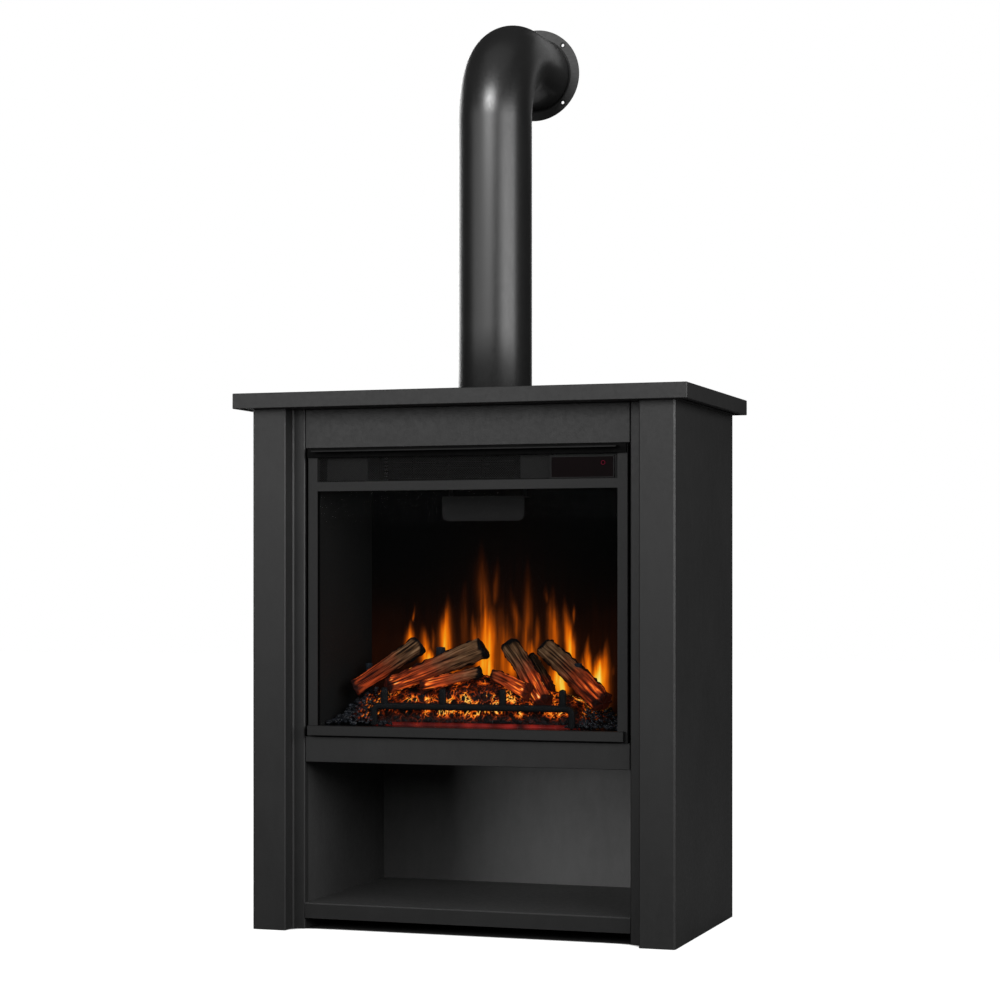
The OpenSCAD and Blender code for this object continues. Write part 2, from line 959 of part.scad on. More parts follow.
module blower_motor() {
    motor_r = 21;
    motor_l = 34;
    face_x = wheel_right + plate_gap + 1.5;
    foot_z = baffle_z + sheet_t;
    color(zinc) placed() difference() {
        union() {
            rod_x([face_x, blower_y, blower_z], motor_r, motor_l);
            block([face_x + 4, blower_y - 15, foot_z], [face_x + 24, blower_y + 15, foot_z + 10]);
        }
        rod_x([face_x - 1, blower_y, blower_z], wheel_shaft_r + running_gap, 16);
    }
}

// Mica frame with resistance wires across the air path
module heater_element() {
    left = wheel_left;
    right = wheel_right;
    y0 = 66;
    y1 = 80;
    lo = 794;
    hi = 841;
    rail = 4;
    wires = 6;
    color(mica) placed() {
        difference() {
            block([left, y0, lo], [right, y1, hi]);
            block([left + rail, y0 - 1, lo + rail], [right - rail, y1 + 1, hi - rail]);
        }
        for (x = [left + 62, left + 126, left + 190]) {
            block([x, y0, lo + rail], [x + 2, y1, hi - rail]);
        }
        for (i = [0:wires - 1]) {
            rod_x([left + rail, (y0 + y1) / 2, lo + 7 + 6.6 * i], 1, right - left - 2 * rail);
        }
    }
}

// Bimetal cut-out on the ceiling baffle beside the heater
module thermal_cutout() {
    color(coal) placed() {
        translate([-210, 80, baffle_z + sheet_t]) cylinder(r = 8, h = 6);
        translate([-210, 80, baffle_z + sheet_t + 6]) cylinder(r = 5, h = 4);
        for (s = [-1, 1]) {
            block([-210 + 6 * s - 1, 78, baffle_z + sheet_t + 6], [-210 + 6 * s + 1, 82, baffle_z + 16]);
        }
    }
}

// ---- controls ----

// Circuit board behind the display, with relays, a capacitor, the receiver and the key switch
module control_board() {
    board_thick = 1.6;
    lo = 793;
    hi = 841;
    back = board_y + board_thick;
    key_front = button_stem_back + 1.4;
    color(board_green) placed() {
        block([160, board_y, lo], [266, back, hi]);
        for (x = [168, 190]) {
            block([x, back, 800], [x + 16, back + 15, 820]);
        }
        rod_y([222, back, 812], 6, 18);
        block([236, back, 800], [258, back + 9, 830]);
        block([button_x - 3, key_front, button_z - 3], [button_x + 3, board_y, button_z + 3]);
        rod_y([190, board_y - 5, button_z], 2.5, 5);
    }
}

// Glossy window with a thin raised rim and a hole for the button
module display_panel() {
    face = display_front + 0.8;
    color([0.12, 0.03, 0.04]) placed() difference() {
        board([display_left, display_front, display_bottom], [display_right, display_back, display_top], 0.4);
        block(
            [display_left + display_rim, display_front - 1, display_bottom + display_rim],
            [display_right - display_rim, face, display_top - display_rim]
        );
        rod_y([button_x, display_front - 1, button_z], button_r + button_gap, 10);
    }
}

module power_button() {
    keeper_t = 1.2;
    dish = 0.4;
    color("red") placed() difference() {
        union() {
            rod_y([button_x, button_front, button_z], button_r, button_stem_back - button_front);
            rod_y([button_x, button_stem_back - keeper_t, button_z], button_r + 1.4, keeper_t);
        }
        rod_y([button_x, button_front - 1, button_z], button_r - 1.3, 1 + dish);
    }
}

// Rocker, resting tilted one way; it turns about its two side pins
module mains_switch_rocker() {
    pin_l = 1.4;
    color("red") placed() translate([switch_x, rocker_y, switch_z]) {
        rotate([rocker_tilt, 0, 0]) along_x(-rocker_w / 2, rocker_w / 2) polygon([
            [-3, -3], [2.5, -8.2], [4.6, -8.2], [3.6, 0], [4.6, 8.2], [2.5, 8.2], [-3, 3]
        ]);
        rod_x([-rocker_w / 2 - pin_l, 0, 0], rocker_pin_r, rocker_w + 2 * pin_l);
    }
}

// Housing clipped into the rear cover, open to the back for the rocker
module mains_switch_housing() {
    body_x = 7.1;
    body_z = 10.1;
    bezel_x = 9;
    bezel_z = 12;
    front = 247;
    outer = case_back + sheet_t;
    pocket_x = rocker_w / 2 + 0.4;
    pocket_z = 9.1;
    color(deep_black) placed() translate([switch_x, 0, switch_z]) difference() {
        union() {
            block([-body_x, front, -body_z], [body_x, outer, body_z]);
            block([-bezel_x, outer, -bezel_z], [bezel_x, outer + 1.6, bezel_z]);
            for (z = [-6, 4]) {
                block([-3, front - 8, z], [3, front, z + 0.8]);
            }
        }
        block([-pocket_x, front + 5, -pocket_z], [pocket_x, outer + 3, pocket_z]);
        rod_x([-body_x - 1, rocker_y, 0], rocker_pin_r + running_gap, 2 * body_x + 2);
    }
}

// Strain relief bush for the mains lead
module cord_gland() {
    outer = case_back + sheet_t;
    color(deep_black) placed() translate([gland_x, 0, gland_z]) difference() {
        union() {
            rod_y([0, case_back - 9, 0], gland_hole_r, 9 + sheet_t);
            rod_y([0, outer, 0], gland_hole_r + 3, 4);
            translate([0, outer + 4, 0]) rotate([-90, 0, 0]) cylinder(r1 = 8, r2 = 6, h = 14);
            rod_y([0, case_back - 5, 0], gland_hole_r + 2.5, 5);
        }
        rod_y([0, case_back - 10, 0], gland_bore_r, 40);
    }
}

mantel_top();
left_side_panel();
right_side_panel();
left_pier_front();
right_pier_front();
pier_returns();
left_stile();
right_stile();
header_board();
lower_rail();
firebox_deck();
bottom_shelf();
left_inner_panel();
right_inner_panel();
back_panel();
rear_stretcher();
cam_locks();
cabinet_screws();
stove_pipe();
pipe_base_ring();
wall_flange();
firebox_case();
rear_cover();
firebox_screws();
mounting_brackets();
front_frame();
visor();
grille_mesh();
grille_backing();
bottom_ledge();
glass_pane();
side_liners();
hearth_tray();
ceiling_baffle();
downlight_cover();
led_boards();
flame_screen();
ember_bed();
coals();
grate();
left_log();
long_log();
middle_log();
rear_log();
right_log();
small_branches();
flicker_rotor();
flicker_motor();
rotor_bush();
blower_wheel();
blower_housing();
blower_motor();
heater_element();
thermal_cutout();
control_board();
display_panel();
power_button();
mains_switch_rocker();
mains_switch_housing();
cord_gland();
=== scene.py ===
"""Looks of the stove-style electric fireplace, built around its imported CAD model.

Metres, +Z up, front towards -Y.
"""

import json
import math
import random

import bmesh
import bpy
import numpy as np
from mathutils import Matrix, Vector, noise


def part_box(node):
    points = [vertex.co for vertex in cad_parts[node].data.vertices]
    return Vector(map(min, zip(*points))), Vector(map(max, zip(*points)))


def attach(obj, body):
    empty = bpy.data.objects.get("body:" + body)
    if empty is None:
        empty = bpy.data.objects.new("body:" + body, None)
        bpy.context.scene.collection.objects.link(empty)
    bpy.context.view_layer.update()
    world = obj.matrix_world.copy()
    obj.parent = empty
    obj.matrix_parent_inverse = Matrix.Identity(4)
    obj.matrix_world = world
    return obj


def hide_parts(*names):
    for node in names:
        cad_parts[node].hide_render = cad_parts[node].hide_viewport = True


MM = 0.001
ROOT = "fireplace"
HOLE_CIRCLE = 152 / 2 * MM

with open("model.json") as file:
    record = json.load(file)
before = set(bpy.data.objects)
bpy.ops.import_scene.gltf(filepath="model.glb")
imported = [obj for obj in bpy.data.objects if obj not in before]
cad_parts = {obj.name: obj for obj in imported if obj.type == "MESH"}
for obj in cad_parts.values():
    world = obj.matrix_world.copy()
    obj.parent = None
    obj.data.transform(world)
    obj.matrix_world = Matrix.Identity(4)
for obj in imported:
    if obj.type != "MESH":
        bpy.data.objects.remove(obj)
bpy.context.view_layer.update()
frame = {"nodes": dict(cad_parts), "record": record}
nodes = frame["nodes"]


def add_object(name, data):
    o = bpy.data.objects.new(name, data)
    bpy.context.scene.collection.objects.link(o)
    return o


# ---- camera

def make_camera():
    """Level camera, to the right of the object, with its frame shifted up."""
    azimuth = math.radians(18.54)
    data = bpy.data.cameras.new("camera")
    data.sensor_width = 36
    data.lens = 86.67
    data.shift_y = 0.0796
    data.clip_end = 60
    camera = add_object("camera", data)
    camera.location = (1.3818, -4.0989, 0.6168)
    camera.rotation_euler = (math.pi / 2, 0, azimuth)
    bpy.context.scene.camera = camera


make_camera()


# ---- node helpers

class Nodes:
    """Adds nodes and links to one node tree."""

    def __init__(self, tree):
        self.tree = tree

    def add(self, kind, inputs=None, **settings):
        """New node of a kind, with values for its inputs by name."""
        n = self.tree.nodes.new("ShaderNode" + kind)
        for key, value in settings.items():
            setattr(n, key, value)
        for key, value in (inputs or {}).items():
            n.inputs[key].default_value = value
        return n

    def link(self, a, b):
        self.tree.links.new(a, b)

    def for_camera(self, seen, other, output):
        """Shows one shader to the camera and another to light and reflections."""
        choose = self.add("MixShader")
        self.link(self.add("LightPath").outputs["Is Camera Ray"], choose.inputs[0])
        self.link(other.outputs[0], choose.inputs[1])
        self.link(seen.outputs[0], choose.inputs[2])
        self.link(choose.outputs[0], output.inputs["Surface"])


class Shader(Nodes):
    """Builds one material."""

    def __init__(self, name):
        self.mat = bpy.data.materials.new(name)
        self.mat.use_nodes = True
        super().__init__(self.mat.node_tree)
        self.bsdf = self.tree.nodes["Principled BSDF"]
        self.coords = None

    def set(self, shine=None, **values):
        """Numbers and colours of the surface's own sockets; shine is its specular level."""
        if shine is not None:
            values["Specular_IOR_Level"] = shine
        for key, value in values.items():
            self.bsdf.inputs[key.replace("_", " ")].default_value = value

    def place(self, stretch=None):
        """Object coordinates, which are the part's frame in metres, stretched by factors."""
        if self.coords is None:
            self.coords = self.add("TexCoord").outputs["Object"]
        if stretch is None:
            return self.coords
        m = self.add("Mapping", {"Scale": stretch})
        self.link(self.coords, m.inputs["Vector"])
        return m.outputs["Vector"]

    def noise(self, scale, detail=3.0, rough=0.5, stretch=None):
        n = self.add("TexNoise", {"Scale": scale, "Detail": detail, "Roughness": rough})
        self.link(self.place(stretch), n.inputs["Vector"])
        return n.outputs["Fac"]

    def cells(self, scale, feature="F1"):
        n = self.add("TexVoronoi", {"Scale": scale}, feature=feature)
        self.link(self.place(), n.inputs["Vector"])
        return n.outputs["Distance"]

    def along(self, axis):
        """Coordinate along one axis, in metres."""
        split = self.add("SeparateXYZ")
        self.link(self.place(), split.inputs[0])
        return split.outputs[axis]

    def before(self, y):
        """1 where the surface stands in front of a depth."""
        return self.math("LESS_THAN", self.along("Y"), y)

    def ramp(self, value, stops):
        n = self.add("ValToRGB")
        elements = n.color_ramp.elements
        while len(elements) < len(stops):
            elements.new(0.5)
        for element, (at, colour) in zip(elements, stops):
            element.position = at
            element.color = (*colour, 1)
        self.link(value, n.inputs["Fac"])
        return n.outputs["Color"]

    def map(self, value, low, high, from_low=0.0, from_high=1.0):
        n = self.add("MapRange", {"From Min": from_low, "From Max": from_high, "To Min": low, "To Max": high})
        self.link(value, n.inputs["Value"])
        return n.outputs["Result"]

    def feed(self, socket, value):
        """Gives a socket a number, a colour or a link."""
        if isinstance(value, (int, float)):
            socket.default_value = value
        elif isinstance(value, tuple):
            socket.default_value = (*value, 1)
        else:
            self.link(value, socket)

    def mix(self, fac, a, b):
        n = self.add("Mix", data_type="RGBA")
        colours = [s for s in n.inputs if s.type == "RGBA"]
        factor = [s for s in n.inputs if s.type == "VALUE"][0]
        for socket, value in zip((factor, *colours), (fac, a, b)):
            self.feed(socket, value)
        return [s for s in n.outputs if s.type == "RGBA"][0]

    def math(self, op, a, b=0.0):
        n = self.add("Math", operation=op)
        for socket, value in zip(n.inputs, (a, b)):
            self.feed(socket, value)
        return n.outputs[0]

    def colour(self, socket):
        self.link(socket, self.bsdf.inputs["Base Color"])

    def tones(self, value, low, high):
        """Colour that drifts between two tones with a noise."""
        return self.ramp(value, [(0.3, low), (0.7, high)])

    def mottle(self, value, low, high):
        """Base colour that drifts between two tones with a noise."""
        self.colour(self.tones(value, low, high))

    def roughness(self, value, low, high):
        """Roughness that drifts between two values with a noise."""
        self.link(self.map(value, low, high, 0.3, 0.7), self.bsdf.inputs["Roughness"])

    def bump(self, height, strength, distance):
        n = self.add("Bump", {"Strength": strength, "Distance": distance})
        self.link(height, n.inputs["Height"])
        self.link(n.outputs["Normal"], self.bsdf.inputs["Normal"])

    def attribute(self, name):
        return self.add("Attribute", attribute_name=name).outputs["Color"]


def grey(v, tint=0.0):
    """A grey, a little warmer with a positive tint and cooler with a negative one."""
    return (v * (1 + tint), v, v * (1 - tint))


# ---- materials

def painted_board(s, base, rough=0.44, front=None, front_base=None):
    """Satin black paint on fibreboard: a soft mottle and rolled-on orange peel.

    What stands in front of the depth given as front takes front_base instead of base.
    """
    tone = s.noise(5.0, 4.0, 0.55)
    fine = s.noise(60.0, 3.0, 0.6, stretch=(1, 1, 0.35))
    both = s.math("ADD", s.math("MULTIPLY", tone, 0.6), s.math("MULTIPLY", fine, 0.4))
    face = s.tones(both, grey(base * 0.82), grey(base * 1.18))
    if front is not None:
        edge = s.tones(both, grey(front_base * 0.82), grey(front_base * 1.18))
        face = s.mix(s.before(front), face, edge)
    s.colour(face)
    s.roughness(s.noise(140.0, 4.0, 0.6), rough - 0.05, rough + 0.06)
    s.bump(s.noise(620.0, 2.0, 0.5), 0.10, 0.0003)


def powder_coat(s, base, rough, texture=1400.0, depth=0.12, tint=0.0, shine=0.5):
    """Baked powder on metal: a fine pebble with a slight drift of tone."""
    s.mottle(s.noise(9.0, 3.0), grey(base * 0.85, tint), grey(base * 1.15, tint))
    s.roughness(s.noise(220.0, 3.0), rough - 0.04, rough + 0.05)
    s.bump(s.noise(texture, 2.0), depth, 0.00025)
    s.set(shine=shine)


def flange_coat(s, base, axis_z, crease_shade_r, hole_places, hole_shade_r):
    """Powder coat with painted shade in the crease round the pipe and round the screw holes, and a painted
    shadow of the elbow that darkens it towards its lower edge.
    """

    def near(x, z, r):
        dx = s.math("SUBTRACT", s.along("X"), x)
        dz = s.math("SUBTRACT", s.along("Z"), z)
        far = s.math("SQRT", s.math("ADD", s.math("MULTIPLY", dx, dx), s.math("MULTIPLY", dz, dz)))
        return s.math("LESS_THAN", far, r)

    # Painted shade: near black in the crease round the pipe and round each screw hole.
    dark = near(0.0, axis_z, crease_shade_r)
    for x, z in hole_places:
        dark = s.math("MAXIMUM", dark, near(x, z, hole_shade_r))
    face = s.tones(s.noise(60.0, 3.0, stretch=(1, 1, 6)), grey(base * 0.8), grey(base * 1.2))
    # Painted shadow of the elbow: the coat darkens from above the pipe's axis towards its lower edge.
    low = s.map(s.along("Z"), 0.92, 0.0, axis_z - 75 * MM, axis_z + 25 * MM)
    s.colour(s.mix(dark, s.mix(low, face, grey(0.006)), grey(0.002)))
    s.roughness(s.noise(220.0, 3.0), 0.46, 0.54)
    s.bump(s.noise(700.0, 2.0), 0.2, 0.00025)
    s.set(shine=0.14)


def zinc_sheet(s, base=0.32, rough=0.38):
    """Galvanised sheet with a quiet spangle and rolling marks."""
    spangle = s.cells(90.0)
    rolled = s.noise(70.0, 3.0, 0.5, stretch=(0.2, 1, 1))
    blend = s.math("ADD", s.math("MULTIPLY", spangle, 0.5), s.math("MULTIPLY", rolled, 0.5))
    s.colour(s.ramp(blend, [(0.2, grey(base * 0.8, -0.02)), (0.8, grey(base * 1.25, -0.02))]))
    s.link(s.map(blend, rough - 0.06, rough + 0.12, 0.2, 0.8), s.bsdf.inputs["Roughness"])
    s.bump(rolled, 0.08, 0.0002)
    s.set(Metallic=1.0)


def plain_plastic(s, colour, rough, texture=900.0, depth=0.08, gloss=0.0, shine=0.5):
    """Moulded plastic with a fine spark-eroded texture."""
    s.mottle(s.noise(40.0, 3.0), tuple(c * 0.85 for c in colour), tuple(c * 1.12 for c in colour))
    s.roughness(s.noise(300.0, 2.0), rough - 0.04, rough + 0.05)
    s.bump(s.noise(texture, 2.0), depth, 0.0002)
    s.set(shine=shine)
    if gloss:
        s.set(Coat_Weight=gloss, Coat_Roughness=0.06)


def glossy_tray(s):
    """High-gloss black enamel of the hearth, with a few dust specks."""
    dust = s.math("GREATER_THAN", s.noise(900.0, 1.0), 0.74)
    s.colour(s.mix(dust, grey(0.006), grey(0.03)))
    s.roughness(s.noise(60.0, 4.0), 0.10, 0.24)
    s.bump(s.noise(25.0, 2.0), 0.03, 0.0008)


def clear_glass(s):
    """Front glass: almost invisible, with a weak sheen."""
    s.roughness(s.noise(12.0, 4.0, 0.6, stretch=(1, 1, 2.5)), 0.03, 0.09)
    s.set(shine=0.1, Alpha=0.06, IOR=1.45, Base_Color=(0.01, 0.012, 0.012, 1))


def lit_surface(s, rough, shine, grain=None, depth=0.0, strength=1.0):
    """Surface whose colour and light come from the colour attributes "tone" and "light" of its mesh."""
    s.colour(s.attribute("tone"))
    s.link(s.attribute("light"), s.bsdf.inputs["Emission Color"])
    s.roughness(s.noise(240.0, 3.0), rough - 0.12, rough + 0.12)
    if grain:
        s.bump(s.noise(grain, 3.0, 0.6), depth, 0.0006)
    s.set(Emission_Strength=strength, shine=shine)


def coal_surface(s):
    """Blue-black coal with shiny facets, glowing with the painted ember light kept in its light attribute."""
    s.colour(s.ramp(s.noise(120.0, 4.0), [(0.35, (0.004, 0.005, 0.007)), (0.75, (0.036, 0.042, 0.056))]))
    s.roughness(s.noise(180.0, 3.0), 0.20, 0.6)
    s.bump(s.noise(520.0, 3.0, 0.6), 0.5, 0.0008)
    s.link(s.attribute("light"), s.bsdf.inputs["Emission Color"])
    s.set(Emission_Strength=1.0, shine=0.4)


def circuit_board(s):
    """Green solder resist with copper tracks showing through."""
    line = s.math("LESS_THAN", s.cells(260.0, "DISTANCE_TO_EDGE"), 0.06)
    s.colour(s.mix(line, (0.003, 0.030, 0.013), (0.012, 0.075, 0.03)))
    s.set(Roughness=0.35)
    s.bump(line, 0.2, 0.0001)


def mica_sheet(s):
    """Mica and heater strips, made near black as painted shade for the dark inside of the housing behind the
    grille.
    """
    s.mottle(s.noise(160.0, 5.0, 0.65), (0.0010, 0.0009, 0.0008), (0.0022, 0.0020, 0.0017))
    s.roughness(s.noise(90.0, 3.0), 0.35, 0.7)
    s.bump(s.cells(120.0), 0.15, 0.0003)
    s.set(shine=0.04)


def bright_foil(s):
    """Crinkled bright foil."""
    crinkle = s.noise(140.0, 4.0, 0.6)
    s.mottle(crinkle, grey(0.62), grey(0.85))
    s.set(Metallic=1.0)
    s.roughness(crinkle, 0.12, 0.3)
    s.bump(crinkle, 0.4, 0.0006)


def display_window(s, rim_y):
    """Smoked red-black window with a satin rim; the rim is what stands in front of rim_y."""
    rim = s.before(rim_y)
    smoke = s.tones(s.noise(24.0, 3.0), (0.0032, 0.0010, 0.0013), (0.0052, 0.0015, 0.0020))
    s.colour(s.mix(rim, smoke, grey(0.035)))
    s.link(s.map(rim, 0.40, 0.55), s.bsdf.inputs["Roughness"])
    s.set(shine=0.05)
    s.bump(s.noise(1200.0, 2.0), 0.05, 0.0001)


def moulding(s, edge_y):
    """Moulding with a near-black body, its black finish deepened by painted shade under the visor, and a
    satin grey front edge, the part in front of edge_y, as a painted highlight.
    """
    # The front edge's satin grey is a painted highlight; the body's near black holds painted shade.
    highlight_lip = s.before(edge_y)
    body = s.tones(s.noise(60.0, 3.0), grey(0.0025), grey(0.0045))
    s.colour(s.mix(highlight_lip, body, grey(0.030)))
    s.roughness(s.noise(300.0, 3.0), 0.55, 0.7)
    s.bump(s.noise(900.0, 2.0), 0.1, 0.0002)
    s.set(shine=0.08)


def flange_places():
    """Height of the pipe's axis, radius of the painted shade round the pipe, centres of the screw holes and
    radius of the painted shade round them.
    """
    lo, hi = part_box("wall_flange")
    z = (lo.z + hi.z) / 2
    reach = HOLE_CIRCLE * math.cos(math.radians(45))
    places = [(x * reach, z + k * reach) for x in (-1, 1) for k in (-1, 1)]
    return z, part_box("stove_pipe")[1].x + 3.2 * MM, places, 5.6 * MM


MATERIALS = {}


def add_material(name, maker, *values, **settings):
    """Makes a material and keeps it under its name, which is that of its slot in the record."""
    s = Shader(name)
    maker(s, *values, **settings)
    MATERIALS[name] = s.mat


add_material("satin_board", painted_board, 0.027)
# Painted light: inner_board is a lighter copy of the satin board paint, standing for light reaching the
# cabinet's inner boards.
add_material("inner_board", painted_board, 0.050, 0.55)
# Painted light: the shelf's top is a lighter copy again, while its front edge, in front of the given depth,
# keeps a dark tone near that of the satin board.
add_material("shelf_board", painted_board, 0.070, 0.5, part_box("bottom_shelf")[0].y + 0.7 * MM, 0.020)
add_material("pipe_paint", powder_coat, 0.007, 0.34, 900.0, 0.06)
add_material("flange_paint", flange_coat, 0.036, *flange_places())
add_material("plate_steel", powder_coat, 0.024, 0.6, 500.0, 0.2, shine=0.3)
add_material("ring_steel", zinc_sheet)
add_material("case_steel", zinc_sheet, 0.30, 0.42)
add_material("screw_steel", zinc_sheet, 0.45, 0.3)
add_material("frame_paint", powder_coat, 0.014, 0.55, 1500.0, 0.18)
add_material("visor_paint", moulding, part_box("visor")[0].y + 0.6 * MM)
# A darker copy of the frame paint, as painted shade for the grille's place under the visor.
add_material("grille_paint", powder_coat, 0.0115, 0.6, 1500.0, 0.1, shine=0.3)
add_material("liner_paint", powder_coat, 0.0065, 0.6, 1200.0, 0.2, shine=0.3)
add_material("tray_gloss", glossy_tray)
add_material("clear_glass", clear_glass)
add_material("screen_acrylic", lit_surface, 0.5, 0.0)
add_material("ember_resin", lit_surface, 0.55, 0.15, 700.0, 0.3, strength=1.35)
add_material("coal_resin", coal_surface)
add_material("grate_paint", powder_coat, 0.0075, 0.55, 700.0, 0.5, tint=-0.15, shine=0.15)
add_material("log_resin", lit_surface, 0.78, 0.08, 900.0, 0.35)
add_material("rotor_foil", bright_foil)
add_material("motor_steel", zinc_sheet, 0.36, 0.34)
add_material("bush_rubber", plain_plastic, grey(0.02), 0.75, 500.0, 0.2)
add_material("wheel_plastic", plain_plastic, grey(0.006), 0.6, shine=0.1)
add_material("heater_mica", mica_sheet)
add_material("cutout_plastic", plain_plastic, (0.03, 0.018, 0.014), 0.45)
add_material("circuit_board", circuit_board)
add_material("led_board", plain_plastic, (0.62, 0.62, 0.58), 0.4)
add_material("display_gloss", display_window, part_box("display_panel")[0].y + 0.4 * MM)
add_material("button_lit", plain_plastic, (0.004, 0.001, 0.002), 0.6, shine=0.05)
add_material("rocker_plastic", plain_plastic, (0.34, 0.015, 0.012), 0.25, gloss=0.5)
add_material("black_plastic", plain_plastic, grey(0.02), 0.45)

# Black steel behind the grille, darkened to near black as painted shade for the dark inside of the housing,
# for nodes that are darker than the rest of their slot.
SHADED_NODES = ("blower_housing", "blower_motor", "firebox_case")
add_material("shaded_black_steel", powder_coat, 0.0025, 0.7, 500.0, 0.2, shine=0.05)


def paint_nodes():
    """Gives every CAD node the material of its slot, or the near-black steel of painted shade."""
    for part in frame["record"]["subparts"]:
        o = nodes[part["node"]]
        o.data.materials.clear()
        name = "shaded_black_steel" if part["node"] in SHADED_NODES else part["material_slot"]
        o.data.materials.append(MATERIALS[name])


paint_nodes()


# ---- mesh helpers

def new_piece(name, verts, faces, slot, node, body=ROOT, smooth=True, sharp=None):
    """Mesh object from points and faces, in the part's frame, riding on a body in place of a CAD node."""
    mesh = bpy.data.meshes.new(name)
    mesh.from_pydata([tuple(v) for v in verts], [], [tuple(int(i) for i in f) for f in faces])
    mesh.update()
    if smooth:
        mesh.shade_smooth()
        if sharp is not None:
            mesh.set_sharp_from_angle(angle=math.radians(sharp))
    mesh.materials.append(MATERIALS[slot])
    o = add_object(name, mesh)
    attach(o, body)
    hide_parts(node)
    return o


def paint_points(o, **layers):
    """Stores linear colours, one for each vertex, under the names that lit_surface reads."""
    for name, colours in layers.items():
        layer = o.data.color_attributes.new(name, "FLOAT_COLOR", "POINT")
        rgba = np.ones((len(o.data.vertices), 4), np.float32)
        rgba[:, :3] = np.array(colours)
        layer.data.foreach_set("color", rgba.ravel())


def grid_faces(rows, columns, wrap=False, start=0):
    """Quads of a grid of points, row by row; with wrap, each row closes on itself."""
    out = []
    last = columns if wrap else columns - 1
    for i in range(rows - 1):
        for j in range(last):
            k = (j + 1) % columns
            a, b = start + i * columns + j, start + i * columns + k
            out.append((a, b, b + columns, a + columns))
    return out


def grid_rim(rows, columns):
    """Points round the outside of a grid, once round."""
    rim = list(range(columns)) + [i * columns + columns - 1 for i in range(1, rows)]
    rim += [(rows - 1) * columns + j for j in range(columns - 2, -1, -1)]
    return rim + [i * columns for i in range(rows - 2, 0, -1)]


def closing_faces(rim, start):
    """Wall from a rim to a copy of it that begins at start, and the face that closes the copy."""
    count = len(rim)
    out = [(rim[n - count + 1], rim[n], start + n, start + (n + 1) % count) for n in range(count)]
    out.append(tuple(start + n for n in reversed(range(count))))
    return out


def join(verts, faces, more_verts, more_faces):
    """Adds one shape to the points and faces of a piece."""
    start = len(verts)
    verts += more_verts
    faces += [tuple(start + k for k in f) for f in more_faces]


def smoothstep(low, high, x):
    t = np.clip((np.asarray(x, float) - low) / (high - low), 0, 1)
    return t * t * (3 - 2 * t)


def ease(low, high, x):
    """Smooth step of one number: 0 at low, 1 at high."""
    return float(smoothstep(low, high, x))


def circle(around):
    """Cosine and sine of equal steps once round."""
    return [(math.cos(2 * math.pi * j / around), math.sin(2 * math.pi * j / around)) for j in range(around)]


def lattice_noise(x, y, seed):
    """Smooth value noise of two coordinate arrays, from 0 to 1, the same every run."""
    def corner(i, j):
        h = np.sin(i * 127.1 + j * 311.7 + seed * 74.7) * 43758.5453
        return h - np.floor(h)
    xi, yi = np.floor(x), np.floor(y)
    u, v = x - xi, y - yi
    u, v = u * u * (3 - 2 * u), v * v * (3 - 2 * v)
    top = corner(xi, yi) * (1 - u) + corner(xi + 1, yi) * u
    low = corner(xi, yi + 1) * (1 - u) + corner(xi + 1, yi + 1) * u
    return top * (1 - v) + low * v


def layered_noise(x, y, seed, octaves=4):
    total, weight, size = 0.0, 0.0, 1.0
    for k in range(octaves):
        total = total + size * lattice_noise(x * 2**k, y * 2**k, seed + 13 * k)
        weight += size
        size *= 0.5
    return total / weight


def blend_colours(value, stops):
    """Linear colours picked along stops of (value, colour)."""
    at = [s[0] for s in stops]
    return np.stack([np.interp(value, at, [s[1][c] for s in stops]) for c in range(3)], axis=-1)


# ---- stove pipe

def make_pipe():
    """Round pipe from the mantel through its bend to the wall flange, as one seamless tube."""
    lo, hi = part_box("stove_pipe")
    radius = (hi.x - lo.x) / 2
    wall = 1.5 * MM
    bend = 130 * MM
    axis_y = lo.y + radius
    axis_z = hi.z - radius
    around = 160
    bend_steps = 56
    groove = 1.1 * MM
    # Stations along the axis: depth, height, angle of the bend, and how far the outside is let in.
    path = [(axis_y, lo.z, 0.0, 0.35 * MM), (axis_y, lo.z + 0.6 * MM, 0.0, 0.0)]
    path += [(axis_y, lo.z + f * (axis_z - bend - lo.z), 0.0, 0.0) for f in (0.25, 0.5, 0.75)]
    for i in range(bend_steps + 1):
        a = i / bend_steps * math.pi / 2
        path.append((axis_y + bend * (1 - math.cos(a)), axis_z - bend + bend * math.sin(a), a, 0.0))
    for back, inset in ((6.4, 0.0), (6.0, groove), (2.2, groove), (0.0, groove)):
        path.append((hi.y - back * MM, axis_z, math.pi / 2, inset))
    verts = []
    for inside in (False, True):
        for y, z, a, inset in path:
            r = radius - wall if inside else radius - inset
            for c, s in circle(around):
                verts.append((s * r, y - c * r * math.cos(a), z + c * r * math.sin(a)))
    rows = len(path)
    outer = grid_faces(rows, around, wrap=True)
    inner = [tuple(reversed(f)) for f in grid_faces(rows, around, wrap=True, start=rows * around)]
    rims = []
    base, end = rows * around, (rows - 1) * around
    for j in range(around):
        k = (j + 1) % around
        rims.append((k, j, base + j, base + k))
        rims.append((end + j, end + k, base + end + k, base + end + j))
    return new_piece("pipe_tube", verts, outer + inner + rims, "pipe_paint", "stove_pipe", sharp=40)


pipe = make_pipe()


# ---- air grille

